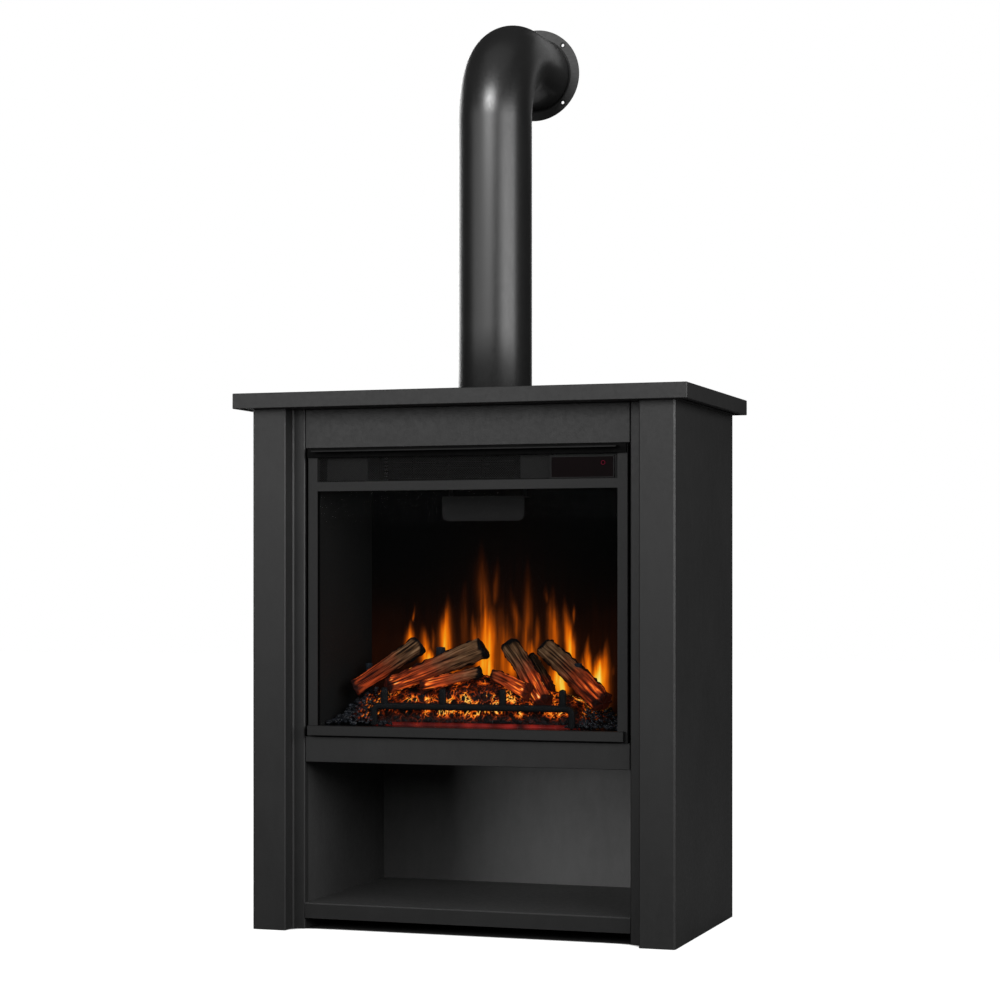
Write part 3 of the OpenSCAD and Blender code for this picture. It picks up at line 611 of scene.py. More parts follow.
def make_grille():
    """Expanded mesh of diamond holes, solid at both ends, with a plain rim round the display's cut-out."""
    lo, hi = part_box("grille_mesh")
    d_lo, d_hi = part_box("display_panel")
    gap, solid_end, rim = 0.25 * MM, 5.5 * MM, 3.0 * MM
    back = lo.y + 0.7 * MM
    hole = 0.81
    columns = int((hi.x - lo.x) / (4.4 * MM))
    rows = int((hi.z - lo.z) / (4.0 * MM))
    wide, tall = (hi.x - lo.x) / columns, (hi.z - lo.z) / rows
    verts, index = [], {}

    def point(x, z):
        key = (round(x / (0.01 * MM)), round(z / (0.01 * MM)))
        if key not in index:
            index[key] = len(verts)
            verts.append((x, z))
        return index[key]

    sheet = []
    for i in range(2 * rows + 1):
        for j in range(columns + 1):
            cx = lo.x + (j + (0.5 if i % 2 else 0.0)) * wide
            cz = lo.z + i * tall / 2
            corners = [(cx - wide / 2, cz), (cx, cz - tall / 2), (cx + wide / 2, cz), (cx, cz + tall / 2)]
            if (corners[2][0] > d_lo.x - gap and corners[0][0] < d_hi.x + gap
                    and corners[3][1] > d_lo.z - gap and corners[1][1] < d_hi.z + gap):
                continue
            kept = [c for c in corners
                    if lo.x - 1e-6 < c[0] < hi.x + 1e-6 and lo.z - 1e-6 < c[1] < hi.z + 1e-6]
            if len(kept) < 3:
                continue
            outer = [point(x, z) for x, z in kept]
            if len(kept) == 3 or min(cx - lo.x, hi.x - cx) < solid_end:
                sheet.append(tuple(outer))
                continue
            inner = [point(cx + (x - cx) * hole, cz + (z - cz) * hole) for x, z in corners]
            sheet += [(outer[k], outer[k - 3], inner[k - 3], inner[k]) for k in range(4)]
    edges = {(f[k - 1], f[k]) for f in sheet for k in range(len(f))}
    count = len(verts)
    points = [(x, lo.y, z) for x, z in verts] + [(x, back, z) for x, z in verts]
    faces = sheet + [tuple(k + count for k in reversed(f)) for f in sheet]
    faces += [(q, p, p + count, q + count) for p, q in sorted(edges) if (q, p) not in edges]
    for x0, x1, z0, z1 in (
            (d_lo.x - rim, d_lo.x - gap, d_lo.z - rim, d_hi.z + rim),
            (d_hi.x + gap, min(d_hi.x + rim, hi.x), d_lo.z - rim, d_hi.z + rim),
            (d_lo.x - gap, d_hi.x + gap, d_lo.z - rim, d_lo.z - gap),
            (d_lo.x - gap, d_hi.x + gap, d_hi.z + gap, d_hi.z + rim)):
        z0, z1 = max(z0, lo.z), min(z1, hi.z)
        if z1 - z0 < gap:
            continue
        strip = [(x, y, z) for y in (lo.y + 0.15 * MM, back - 0.15 * MM)
                 for x, z in ((x0, z0), (x1, z0), (x1, z1), (x0, z1))]
        join(points, faces, strip,
             [(0, 1, 2, 3), (7, 6, 5, 4), (1, 0, 4, 5), (2, 1, 5, 6), (3, 2, 6, 7), (0, 3, 7, 4)])
    new_piece("grille_sheet", points, faces, "grille_paint", "grille_mesh", smooth=False)


make_grille()


# ---- power button

def make_button():
    """Turned button: black cap, and a red ring lit from inside set into its face."""
    lo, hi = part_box("power_button")
    cx, cz = (lo.x + hi.x) / 2, (lo.z + hi.z) / 2
    cap_r = 4 * MM
    keeper_r = (hi.x - lo.x) / 2
    front, back = lo.y, hi.y
    ring_out, ring_in, ring_proud = 3.6 * MM, 2.9 * MM, 0.25 * MM
    profile = [
        (0, front + 0.5 * MM), (ring_in - 0.2 * MM, front + 0.45 * MM), (ring_in, front + 0.35 * MM),
        (ring_in, front + ring_proud), (ring_in + 0.2 * MM, front + 0.05 * MM),
        (ring_out - 0.2 * MM, front + 0.05 * MM), (ring_out, front + ring_proud),
        (ring_out, front + 0.35 * MM), (cap_r - 0.15 * MM, front + 0.2 * MM), (cap_r, front + 0.4 * MM),
        (cap_r, back - 1.2 * MM), (keeper_r, back - 1.2 * MM), (keeper_r, back), (0, back),
    ]
    lit = {3, 4, 5}
    around = 48
    verts, faces = [], []
    rings = []
    for r, y in profile:
        if r == 0:
            rings.append([len(verts)])
            verts.append((cx, y, cz))
            continue
        rings.append([len(verts) + j for j in range(around)])
        verts += [(cx + r * c, y, cz + r * s) for c, s in circle(around)]
    slots = []
    for n, (a, b) in enumerate(zip(rings, rings[1:])):
        for j in range(around):
            k = (j + 1) % around
            if len(a) == 1:
                faces.append((a[0], b[j], b[k]))
            elif len(b) == 1:
                faces.append((a[j], b[0], a[k]))
            else:
                faces.append((a[j], b[j], b[k], a[k]))
            slots.append(1 if n in lit else 0)
    o = new_piece("button_cap", verts, faces, "button_lit", "power_button", body="power_button", sharp=30)
    glow = Shader("button_ring")
    glow.mottle(glow.noise(300.0), (0.05, 0.003, 0.008), (0.07, 0.004, 0.012))
    glow.set(Emission_Color=(1.0, 0.04, 0.14, 1), Emission_Strength=0.11, Roughness=0.5,
             shine=0.1)
    o.data.materials.append(glow.mat)
    for polygon, slot in zip(o.data.polygons, slots):
        polygon.material_index = slot


make_button()


# ---- flame screen

# The part of the screen that the flames reach, in metres.
FLAMES_ACROSS = (-0.190, 0.228)
FLAMES_UP = (0.405, 0.690)
# Flame tongues on the screen, in millimetres: foot (across, height), tip, width and strength.
TONGUES = [
    (-168, 488, -162, 548, 16, 0.95), (-158, 546, -157, 576, 5, 0.40),
    (-138, 470, -138, 540, 17, 0.62), (-131, 458, -128, 500, 22, 1.02),
    (-121, 492, -121, 541, 8, 0.34), (-97, 484, -94, 588, 21, 0.97),
    (-60, 500, -59, 622, 15, 0.20), (-43, 500, -43, 570, 11, 0.48),
    (-20, 452, -22, 614, 29, 0.88), (-24, 540, -27, 690, 22, 0.33), (-17, 446, -18, 530, 20, 0.84),
    (-4, 585, 3, 660, 11, 0.22), (14, 450, 13, 590, 46, 0.32), (38, 520, 30, 606, 17, 0.30),
    (30, 450, 34, 520, 26, 0.48), (56, 490, 60, 656, 18, 0.31), (75, 495, 79, 565, 12, 0.38),
    (64, 470, 64, 524, 22, 0.62), (107, 490, 107, 606, 22, 0.55), (139, 465, 131, 586, 20, 0.92),
    (145, 543, 145, 578, 5, 0.40), (171, 445, 173, 526, 14, 0.85), (163, 438, 160, 494, 13, 0.66),
    (192, 404, 203, 516, 29, 1.35), (190, 400, 196, 458, 24, 1.65), (124, 418, 106, 488, 30, 1.15),
    (217, 448, 217, 480, 10, 0.26), (96, 578, 95, 616, 8, 0.20), (-78, 440, -66, 500, 30, 0.45),
]
FLAME_STOPS = [
    (0.0, (0.0, 0.0, 0.0)), (0.12, (0.016, 0.003, 0.0)), (0.28, (0.075, 0.014, 0.001)),
    (0.45, (0.26, 0.044, 0.001)), (0.62, (0.62, 0.105, 0.001)), (0.80, (0.95, 0.21, 0.003)),
    (0.98, (1.0, 0.36, 0.010)), (1.2, (1.0, 0.66, 0.07)), (1.45, (1.0, 0.88, 0.28)),
]


def flame_light(x, z):
    """Light of the flames at points of the screen, in millimetres."""
    bend = layered_noise(x / 30, z / 60, 3) - 0.5
    px = x + 7 * bend
    pz = z + 22 * (layered_noise(x / 9, z / 40, 5) - 0.5)
    total = np.zeros_like(x)
    for x0, z0, x1, z1, width, strength in TONGUES:
        u = (pz - z0) / (z1 - z0)
        rise = np.clip(u, 0, 1)
        centre = x0 + (x1 - x0) * rise + 0.10 * width * np.sin(4.5 * rise + x0)
        half = 0.60 * width * (0.75 + 1.1 * rise * (1 - rise)) * np.sqrt(np.clip(1 - rise, 0, 1) + 0.05)
        across = np.clip(np.abs(px - centre) / half, 0, 4)
        body = np.exp(-1.0 * across**1.9)
        fade = (1 - smoothstep(0.22, 1.10, u)) * smoothstep(-0.4, 0.1, u)
        wide = np.exp(-0.5 * (across / 2.2) ** 2) * fade
        total = np.maximum(total, strength * body * fade) + 0.045 * strength * wide
    streaks = layered_noise((x + 3 * bend) / 4.2, z / 80, 21, 3)
    total *= 0.58 + 0.72 * streaks
    haze = np.exp(-((x - 22) / 95) ** 2) * np.exp(-np.clip(z - 470, 0, None) / 70)
    glow = np.exp(-((x - 10) / 170) ** 2) * np.exp(-np.clip(z - 430, 0, None) / 60)
    return total + 0.15 * haze * (0.5 + streaks) + 0.010 * glow


def spaced(low, high, fine_low, fine_high, fine, coarse):
    """Grid lines from low to high, close together between fine_low and fine_high."""
    parts = [
        np.linspace(low, fine_low, max(2, round((fine_low - low) / coarse) + 1))[:-1],
        np.linspace(fine_low, fine_high, round((fine_high - fine_low) / fine) + 1)[:-1],
        np.linspace(fine_high, high, max(2, round((high - fine_high) / coarse) + 1)),
    ]
    return np.concatenate(parts)


def make_flame_screen():
    """Panel with a fine grid on its front face, which carries the flames."""
    lo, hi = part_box("flame_screen")
    fine_x, fine_z, coarse = 1.5 * MM, 1.6 * MM, 14 * MM
    xs = spaced(lo.x, hi.x, *FLAMES_ACROSS, fine_x, coarse)
    zs = spaced(lo.z, hi.z, *FLAMES_UP, fine_z, coarse)
    gx, gz = np.meshgrid(xs, zs)
    front = np.stack([gx, np.full_like(gx, lo.y), gz], -1).reshape(-1, 3)
    rows, columns = gx.shape
    verts = list(front)
    rim = grid_rim(rows, columns)
    start = len(verts)
    verts += [(verts[k][0], hi.y, verts[k][2]) for k in rim]
    faces = grid_faces(rows, columns) + closing_faces(rim, start)
    o = new_piece("flame_panel", verts, faces, "screen_acrylic", "flame_screen", smooth=False)
    points = np.array([tuple(v) for v in verts])
    value = flame_light(points[:, 0] / MM, points[:, 2] / MM)
    light = blend_colours(value, FLAME_STOPS)
    light[start:] = 0
    paint_points(o, light=light, tone=np.full((len(verts), 3), 0.0022))


make_flame_screen()


# ---- logs

def spot(x, y, z):
    """Point from millimetres: across, depth behind the middle of the part, height."""
    return Vector((x, y, z)) * MM


def log_axis(node, rises, r_start, r_end, move_a=(0, 0, 0), move_b=(0, 0, 0)):
    """Ends of a log's axis, from left to right.

    They are worked out from the box of its CAD solid and the radii that the solid has there, and
    then moved; a log that rises goes up and back from left to right. Radii and moves in millimetres.
    """
    lo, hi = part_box(node)
    a = Vector((lo.x, lo.y if rises else hi.y, lo.z if rises else hi.z))
    b = Vector((hi.x, hi.y if rises else lo.y, hi.z if rises else lo.z))
    way = (b - a).normalized()
    for end, r, sign in ((a, r_start, 1), (b, r_end, -1)):
        for k in range(3):
            end[k] += sign * math.copysign(r * MM * math.sqrt(max(0.0, 1 - way[k] ** 2)), way[k])
    return a + spot(*move_a), b + spot(*move_b)


WOOD_STOPS = [(0.0, (0.020, 0.010, 0.005)), (0.25, (0.095, 0.048, 0.022)), (0.5, (0.21, 0.108, 0.052)),
              (0.75, (0.32, 0.175, 0.088)), (1.0, (0.46, 0.27, 0.14))]
RED_STOPS = [(0.0, (0.020, 0.004, 0.002)), (0.25, (0.11, 0.018, 0.006)), (0.5, (0.26, 0.040, 0.012)),
             (0.75, (0.38, 0.062, 0.018)), (1.0, (0.52, 0.11, 0.034))]
BLUSH = (0.050, 0.0065, 0.001)
GLOW_STOPS = [(0.0, (0.0, 0.0, 0.0)), (0.2, (0.020, 0.002, 0.001)), (0.45, (0.16, 0.016, 0.003)),
              (0.7, (0.55, 0.075, 0.008)), (0.9, (0.95, 0.22, 0.02)), (1.15, (1.0, 0.55, 0.10)),
              (1.4, (1.0, 0.82, 0.35))]
FLATS = ((0.0, 0.80), (2.15, 0.87), (-2.15, 0.87))


def log_shape(a, b, r_start, r_end, seed, low_end, hot, reach, wood=1.0, blush=1.0, around=132):
    """Points, faces and colours of one split and charred log between two points; radii in millimetres.

    low_end is 0 when the hot end is at a and 1 when it is at b; hot is how strongly it glows and
    reach is the share of the length that the glow covers; wood dims the bare wood, and blush is the
    strength of the red light that soaks its hot half.
    """
    rng = random.Random(seed)
    length = (b - a).length
    way = (b - a).normalized()
    face = Vector((0.20, -0.97, 0.02))
    face = (face - way * face.dot(way)).normalized()
    over = way.cross(face)
    if over.z < 0:
        over.negate()
    shift = Vector((seed * 13.7, seed * 5.3, seed * 9.1))
    tilt = [(rng.uniform(-0.3, 0.3), rng.uniform(-0.2, 0.2)) for _ in range(2)]
    wave = [rng.uniform(0, 6.28) for _ in range(3)]
    steps = int(length / (1.4 * MM))
    rows = [(0.0, k) for k in (0.02, 0.3, 0.55, 0.78, 0.92)]
    rows += [(0.004 + 0.992 * i / steps, 1.0) for i in range(steps + 1)]
    rows += [(1.0, k) for k in (0.92, 0.78, 0.55, 0.3, 0.02)]
    verts, tone, light = [], [], []

    def fibres(across, along):
        """Noise at the point in hand, drawn out along the log."""
        return noise.noise(Vector((c * across, d * across, v / along)) + shift)

    for s, scale in rows:
        v = s * length
        end = 0 if s < 0.5 else 1
        from_end = min(v, length - v)
        radius = (r_start + (r_end - r_start) * s) * MM
        radius *= 1 + 0.06 * math.sin(5.0 * s + wave[0]) + 0.03 * math.sin(11.0 * s + wave[1])
        core = a + way * v + over * (0.07 * radius * math.sin(4.0 * s + wave[2]))
        lean = ease(22 * MM, 0, from_end)
        for j in range(around):
            t = 2 * math.pi * j / around
            c, d = math.cos(t), math.sin(t)
            k = 1.0
            for at, depth in FLATS:
                away = math.cos(t - at)
                if away > 0:
                    k = min(k, depth / away)
            fibre = fibres(radius / (3 * MM), 85 * MM)
            hair = fibres(radius / (1.5 * MM), 34 * MM)
            lump = fibres(radius / (8 * MM), 9 * MM)
            ragged = fibres(1.6, 16 * MM)
            scorch = noise.noise(Vector((c * 1.3, d * 1.3, v / 0.026)) + shift * 2)
            split = ease(0.34, 0.46, c + 0.30 * ragged)
            rough = split * (1.0 * fibre + 0.4 * hair) + (1 - split) * (3.2 * lump + 0.6 * hair)
            r = scale * (radius * k * (1 + 0.05 * ragged) + rough * MM)
            chip = (tilt[end][0] * c + tilt[end][1] * d) * radius * lean * scale
            chip += lean * 1.6 * MM * lump
            verts.append(core + way * chip + face * (c * r) + over * (d * r))
            grain = min(1.0, max(0.0, 0.47 + 0.62 * fibre + 0.55 * hair + 0.40 * scorch))
            char = 1 - split
            char = max(char, ease(12 * MM, 4 * MM, from_end + 9 * MM * ragged))
            char = max(char, 0.6 * ease(-0.30, -0.50, fibre + 0.2 * scorch))
            char = max(char, 0.4 * ease(0.14, 0.45, scorch))
            toward = s if low_end else 1 - s
            warm = ease(1 - reach, 1.0, toward + 0.12 * ragged)
            bare = blend_colours(grain, WOOD_STOPS) * (1 - min(1, warm * 1.8))
            bare = (bare + blend_colours(grain, RED_STOPS) * min(1, warm * 1.8)) * wood
            black = np.array([0.006, 0.006, 0.007]) * (0.5 + 1.3 * abs(lump) + 0.8 * max(0.0, hair))
            tone.append(bare * (1 - char) + black * char)
            ridge = ease(0.10, 0.36, fibre) + 0.6 * ease(0.10, 0.38, hair)
            seam = ease(0.25, 0.0, abs(split - 0.5)) * ease(-0.05, 0.25, lump + 0.1)
            heat = hot * warm * (0.16 + 0.85 * ridge * warm) * (1 - 0.9 * char)
            heat += hot * ease(0.10, 0.7, warm) * 0.85 * seam
            soak = blush * warm * (1 - 0.8 * char) * (0.35 + 1.1 * grain)
            light.append(blend_colours(min(1.4, heat), GLOW_STOPS) + np.array(BLUSH) * soak)
    return verts, grid_faces(len(rows), around, wrap=True), tone, light


def stub_shape(low, high, radius, seed):
    """Short charred post, like the stump of a side branch; radius in millimetres."""
    around, steps = 28, 16
    radius *= MM
    verts, tone = [], []
    shift = Vector((seed * 4.1, seed * 2.9, seed))
    rows = [(i / steps, 1.0) for i in range(steps + 1)] + [(1.0, k) for k in (0.75, 0.4, 0.02)]
    for s, scale in rows:
        core = low.lerp(high, s)
        for c, d in circle(around):
            lump = noise.noise(Vector((c * 1.5, d * 1.5, s * 3)) + shift)
            r = scale * radius * (1 - 0.12 * s + 0.16 * lump)
            verts.append(core + Vector((c * r, d * r, (1 - scale) * 0.12 * radius)))
            tone.append(np.array([0.016, 0.020, 0.027]) * (0.6 + 1.2 * abs(lump) + 0.8 * s**4))
    return verts, grid_faces(len(rows), around, wrap=True), tone, [np.zeros(3)] * len(verts)


def make_log(name, node, shapes):
    """One piece from one or more log shapes, in place of a CAD log."""
    verts, faces, tone, light = [], [], [], []
    for shape_verts, shape_faces, shape_tone, shape_light in shapes:
        join(verts, faces, shape_verts, shape_faces)
        tone += list(shape_tone)
        light += list(shape_light)
    o = new_piece(name, verts, faces, "log_resin", node)
    paint_points(o, tone=tone, light=light)


def make_logs():
    ends = log_axis("left_log", True, 13, 15, move_b=(-5, 0, -1))
    make_log("log_left", "left_log", [
        log_shape(*ends, 14, 16.5, 1, low_end=0, hot=0.60, reach=0.85),
        stub_shape(spot(-222, -55, 400), spot(-223, -57, 466), 6.5, 3),
    ])
    ends = log_axis("long_log", True, 12, 19)
    make_log("log_long", "long_log", [
        log_shape(*ends, 15, 20.5, 2, low_end=0, hot=1.0, reach=0.82),
        stub_shape(spot(-85, -58, 462), spot(-85, -58, 496), 9, 5),
    ])
    ends = log_axis("middle_log", False, 14, 13, (7, 0, -10), (3, -6, -13))
    make_log("log_middle", "middle_log", [log_shape(*ends, 18, 17, 3, low_end=1, hot=1.05, reach=0.85)])
    ends = log_axis("rear_log", False, 11, 12, move_b=(-15, 0, -2))
    make_log("log_rear", "rear_log", [
        log_shape(*ends, 10, 10, 4, low_end=1, hot=0.5, reach=0.45, wood=0.35),
    ])
    ends = log_axis("right_log", False, 18, 15, (9, 0, -9), (-8, 0, 2))
    make_log("log_right", "right_log", [
        log_shape(*ends, 19, 19.5, 5, low_end=1, hot=0.66, reach=0.78),
        stub_shape(spot(183, -86, 436), spot(180, -88, 471), 7.5, 7),
    ])
    lo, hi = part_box("small_branches")
    deep = hi.y - lo.y
    first = log_shape(Vector((lo.x + 2 * MM, lo.y + 0.18 * deep, lo.z + 21 * MM)),
                      Vector((lo.x + 0.53 * (hi.x - lo.x), lo.y + 0.5 * deep, hi.z - 9 * MM)),
                      9.5, 10.5, 6, low_end=0, hot=0.9, reach=1.05, blush=2.6, around=96)
    second = log_shape(Vector((lo.x + 0.62 * (hi.x - lo.x), lo.y + 0.7 * deep, hi.z - 15 * MM)),
                       Vector((hi.x - 3 * MM, lo.y + 0.16 * deep, lo.z + 13 * MM)),
                       10.5, 14, 7, low_end=1, hot=1.0, reach=1.6, blush=4.5, around=96)
    make_log("branches", "small_branches", [first, second])


make_logs()


# ---- ember bed

EMBER_STOPS = [(0.0, (0.0, 0.0, 0.0)), (0.2, (0.04, 0.004, 0.0)), (0.45, (0.28, 0.030, 0.002)),
               (0.7, (0.80, 0.13, 0.006)), (0.95, (1.0, 0.30, 0.020)), (1.3, (1.0, 0.62, 0.12))]


def bed_crest(x):
    """Height of the bed's crest across its width, in millimetres."""
    return np.interp(x, [-192, -172, -145, -110, -40, 5, 60, 127, 180, 204],
                     [392, 412, 430, 438, 444, 448, 434, 422, 406, 388])


def cell_seam(p, size, shift):
    """Distance to the seam between the two nearest cells, in cells."""
    near, _ = noise.voronoi(p / size + shift, distance_metric="DISTANCE", exponent=2.5)
    return near[1] - near[0]


def make_ember_bed():
    """Crusted bed: dark chunks with hot cracks between some of them."""
    lo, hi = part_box("ember_bed")
    columns = int((hi.x - lo.x) / (1.05 * MM))
    # Outline from the front foot over the crest to the back, as shares of the depth and of the height.
    profile = [(0.0, 0.0), (0.0, 0.05), (0.015, 0.22), (0.03, 0.50), (0.10, 0.68), (0.24, 0.86),
               (0.38, 1.0), (0.6, 0.98), (1.0, 0.9)]
    steps = 112
    spots = np.interp(np.linspace(0, 1, steps) ** 0.9, np.linspace(0, 1, len(profile)), range(len(profile)))
    verts, tone, light = [], [], []
    for t in spots:
        k = min(int(t), len(profile) - 2)
        part = t - k
        deep = profile[k][0] + (profile[k + 1][0] - profile[k][0]) * part
        high = profile[k][1] + (profile[k + 1][1] - profile[k][1]) * part
        for i in range(columns + 1):
            x = lo.x + (hi.x - lo.x) * i / columns
            edge = min(1.0, min(x - lo.x, hi.x - x) / (14 * MM) + 0.1)
            crest = float(bed_crest(x / MM)) * MM
            y = lo.y + 4 * MM + deep * (hi.y - lo.y - 6 * MM)
            z = lo.z + high * (crest - lo.z) * (0.35 + 0.65 * edge)
            p = Vector((x, y, z))
            warp = Vector((noise.noise(p / 0.012), 0, noise.noise(p / 0.012 + Vector((7, 1, 3))))) * 0.35
            flat = Vector((x * 0.72, y, z))
            big = cell_seam(flat, 19 * MM, warp)
            mid = cell_seam(p, 9.5 * MM, warp + Vector((5, 3, 1)))
            fine = cell_seam(p, 5.2 * MM, warp * 1.5 + Vector((2, 8, 4)))
            lump = min(1.0, big * 2.4) * 3.4 * MM + min(1.0, mid * 2.0) * 1.6 * MM
            lump += min(1.0, fine * 2.0) * 0.7 * MM
            push = Vector((0, -0.75, 0.66)) if high > 0.3 else Vector((0, -1, 0))
            lump *= ease(0.04, 0.10, high) if deep < 0.01 else 1.0
            q = p + push * (lump - 3.2 * MM) * edge
            q.z = max(lo.z, q.z)
            q.y = max(lo.y, min(hi.y, q.y))
            verts.append(q)
            patch = 0.5 + 1.3 * noise.noise(p / (24 * MM) + Vector((3, 0, 0)))
            run = ease(-0.20, 0.25, noise.noise(p / (16 * MM)))
            spur = ease(0.0, 0.30, noise.noise(p / (9 * MM) + Vector((4, 2, 6))))
            hot = 0.95 * ease(0.07, 0.02, big) * (0.35 + 0.65 * run)
            hot = max(hot, 1.35 * ease(0.10, 0.03, mid) * run)
            hot = max(hot, 1.00 * ease(0.10, 0.02, fine) * spur)
            above = math.exp(-((q.z - 0.405) / 0.010) ** 2)
            under = math.exp(-((q.z - 0.385) / 0.006) ** 2)
            zone = 0.50 + 0.40 * above + 0.42 * under
            hot *= max(0.0, zone * (0.35 + 0.95 * patch))
            hot *= (0.30 + 0.70 * ease(0.368, 0.378, q.z)) * (0.4 + 0.6 * edge)
            hot *= 0.62 + 0.38 * ease(-0.165, -0.12, x)
            glow = blend_colours(min(1.3, max(0.0, hot)), EMBER_STOPS)
            # Painted reflection: a red band of light along the bed's foot stands for the embers' glow
            # reflected in the glossy tray.
            foot = ease(0.3655, 0.3640, q.z) * edge * max(0.0, 0.35 + 0.7 * patch)
            foot *= 0.5 + 0.5 * ease(-0.10, 0.05, x) * ease(0.19, 0.13, x)
            light.append(glow + np.array([0.17, 0.009, 0.006]) * foot)
            shade = 0.35 + 0.65 * min(1.0, mid * 2.2)
            brown = np.array([0.040, 0.008, 0.004]) * (0.5 + patch)
            steel = np.array([0.010, 0.009, 0.011])
            pick = ease(0.45, 0.62, 0.5 + noise.noise(p / (13 * MM) + Vector((9, 9, 9))))
            pick = max(pick, ease(0.380, 0.368, q.z))
            tone.append((brown * (1 - pick) + steel * pick) * shade)
    # Skirt to the floor round the open edges, so that the bed is a closed shell.
    rim = grid_rim(steps, columns + 1)
    faces = grid_faces(steps, columns + 1) + closing_faces(rim, len(verts))
    for k in rim:
        verts.append(Vector((verts[k].x, verts[k].y, lo.z)))
        tone.append(np.array([0.006, 0.005, 0.005]))
        light.append(np.zeros(3))
    o = new_piece("ember_crust", verts, faces, "ember_resin", "ember_bed")
    paint_points(o, tone=tone, light=light)


make_ember_bed()


# ---- grate

def cast_bar(path, half_w, half_h, seed, around=20):
    """Rough cast bar with rounded edges along a path of points."""
    verts, faces = [], []
    shift = Vector((seed * 3.3, seed, seed * 7.7))
    count = len(path)
    for i, p in enumerate(path):
        before, after = path[max(0, i - 1)], path[min(count - 1, i + 1)]
        way = (after - before).normalized()
        deep = Vector((0, 1, 0)) if abs(way.y) < 0.9 else Vector((1, 0, 0))
        deep = (deep - way * deep.dot(way)).normalized()
        side = way.cross(deep)
        taper = 0.15 if i in (0, count - 1) else (0.85 if i in (1, count - 2) else 1.0)
        for c, d in circle(around):
            square = (c**4 + d**4) ** -0.25
            pit = noise.noise((p + deep * c * half_w + side * d * half_h) / (5 * MM) + shift)
            grow = taper * (square * 0.94 + 0.10 * pit)
            verts.append(p + deep * (c * half_w * grow) + side * (d * half_h * grow))
    faces = grid_faces(count, around, wrap=True)
    faces.append(tuple(range(around)))
    faces.append(tuple((count - 1) * around + j for j in reversed(range(around))))
    return verts, faces


def make_grate():
    """Cast front bar whose ends turn down into legs, with four stout pegs."""
    lo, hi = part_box("grate")
    bar_y = lo.y + 4 * MM
    bar_z = lo.z + 35 * MM
    leg_x = hi.x - 4.5 * MM
    corner = 11 * MM
    span = leg_x - corner

    def turn(x, first):
        """Quarter circle round a point at the bar's end, clockwise from an angle."""
        angles = [math.radians(first - 15 * k) for k in range(7)]
        return [Vector((x + corner * math.cos(a), bar_y, bar_z - corner + corner * math.sin(a)))
                for a in angles]

    path = [Vector((-leg_x, bar_y, lo.z + k * MM)) for k in (0.4, 1.5, 8, 15, 20)]
    path += turn(-span, 180)
    path += [Vector((-span + 2 * span * k / 90, bar_y, bar_z)) for k in range(1, 90)]
    path += turn(span, 90)
    path += [Vector((leg_x, bar_y, lo.z + k * MM)) for k in (20, 15, 8, 1.5, 0.4)]
    verts, faces = cast_bar(path, 4.6 * MM, 6.3 * MM, 1)
    for n, x in enumerate((-163, -54, 57, 166)):
        peg = [Vector((x * MM, bar_y, bar_z + k * MM)) for k in (1, 2, 6, 11, 16, 21, 26, 31.5, 33.4)]
        join(verts, faces, *cast_bar(peg, 4.8 * MM, 6.6 * MM, 5 + n))
    new_piece("grate_casting", verts, faces, "grate_paint", "grate", sharp=50)


make_grate()


# ---- coals

def rock(rng, size):
    """Points and faces of one angular lump of coal."""
    bm = bmesh.new()
    bmesh.ops.create_icosphere(bm, subdivisions=2, radius=size / 2)
    stretch = Vector((rng.uniform(0.8, 1.3), rng.uniform(0.75, 1.1), rng.uniform(0.6, 0.95)))
    turn = Matrix.Rotation(rng.uniform(0, 6.28), 3, "Z") @ Matrix.Rotation(rng.uniform(-0.5, 0.5), 3, "X")
    shift = Vector((rng.uniform(0, 90), rng.uniform(0, 90), rng.uniform(0, 90)))
    for v in bm.verts:
        direction = v.co.normalized()
        near, _ = noise.voronoi(direction * 1.4 + shift, distance_metric="DISTANCE", exponent=2.5)
        v.co = v.co * (0.72 + 0.5 * near[0])
        v.co = turn @ Vector(a * b for a, b in zip(v.co, stretch))
    verts = [v.co.copy() for v in bm.verts]
    faces = [tuple(v.index for v in f.verts) for f in bm.faces]
    bm.free()
    return verts, faces


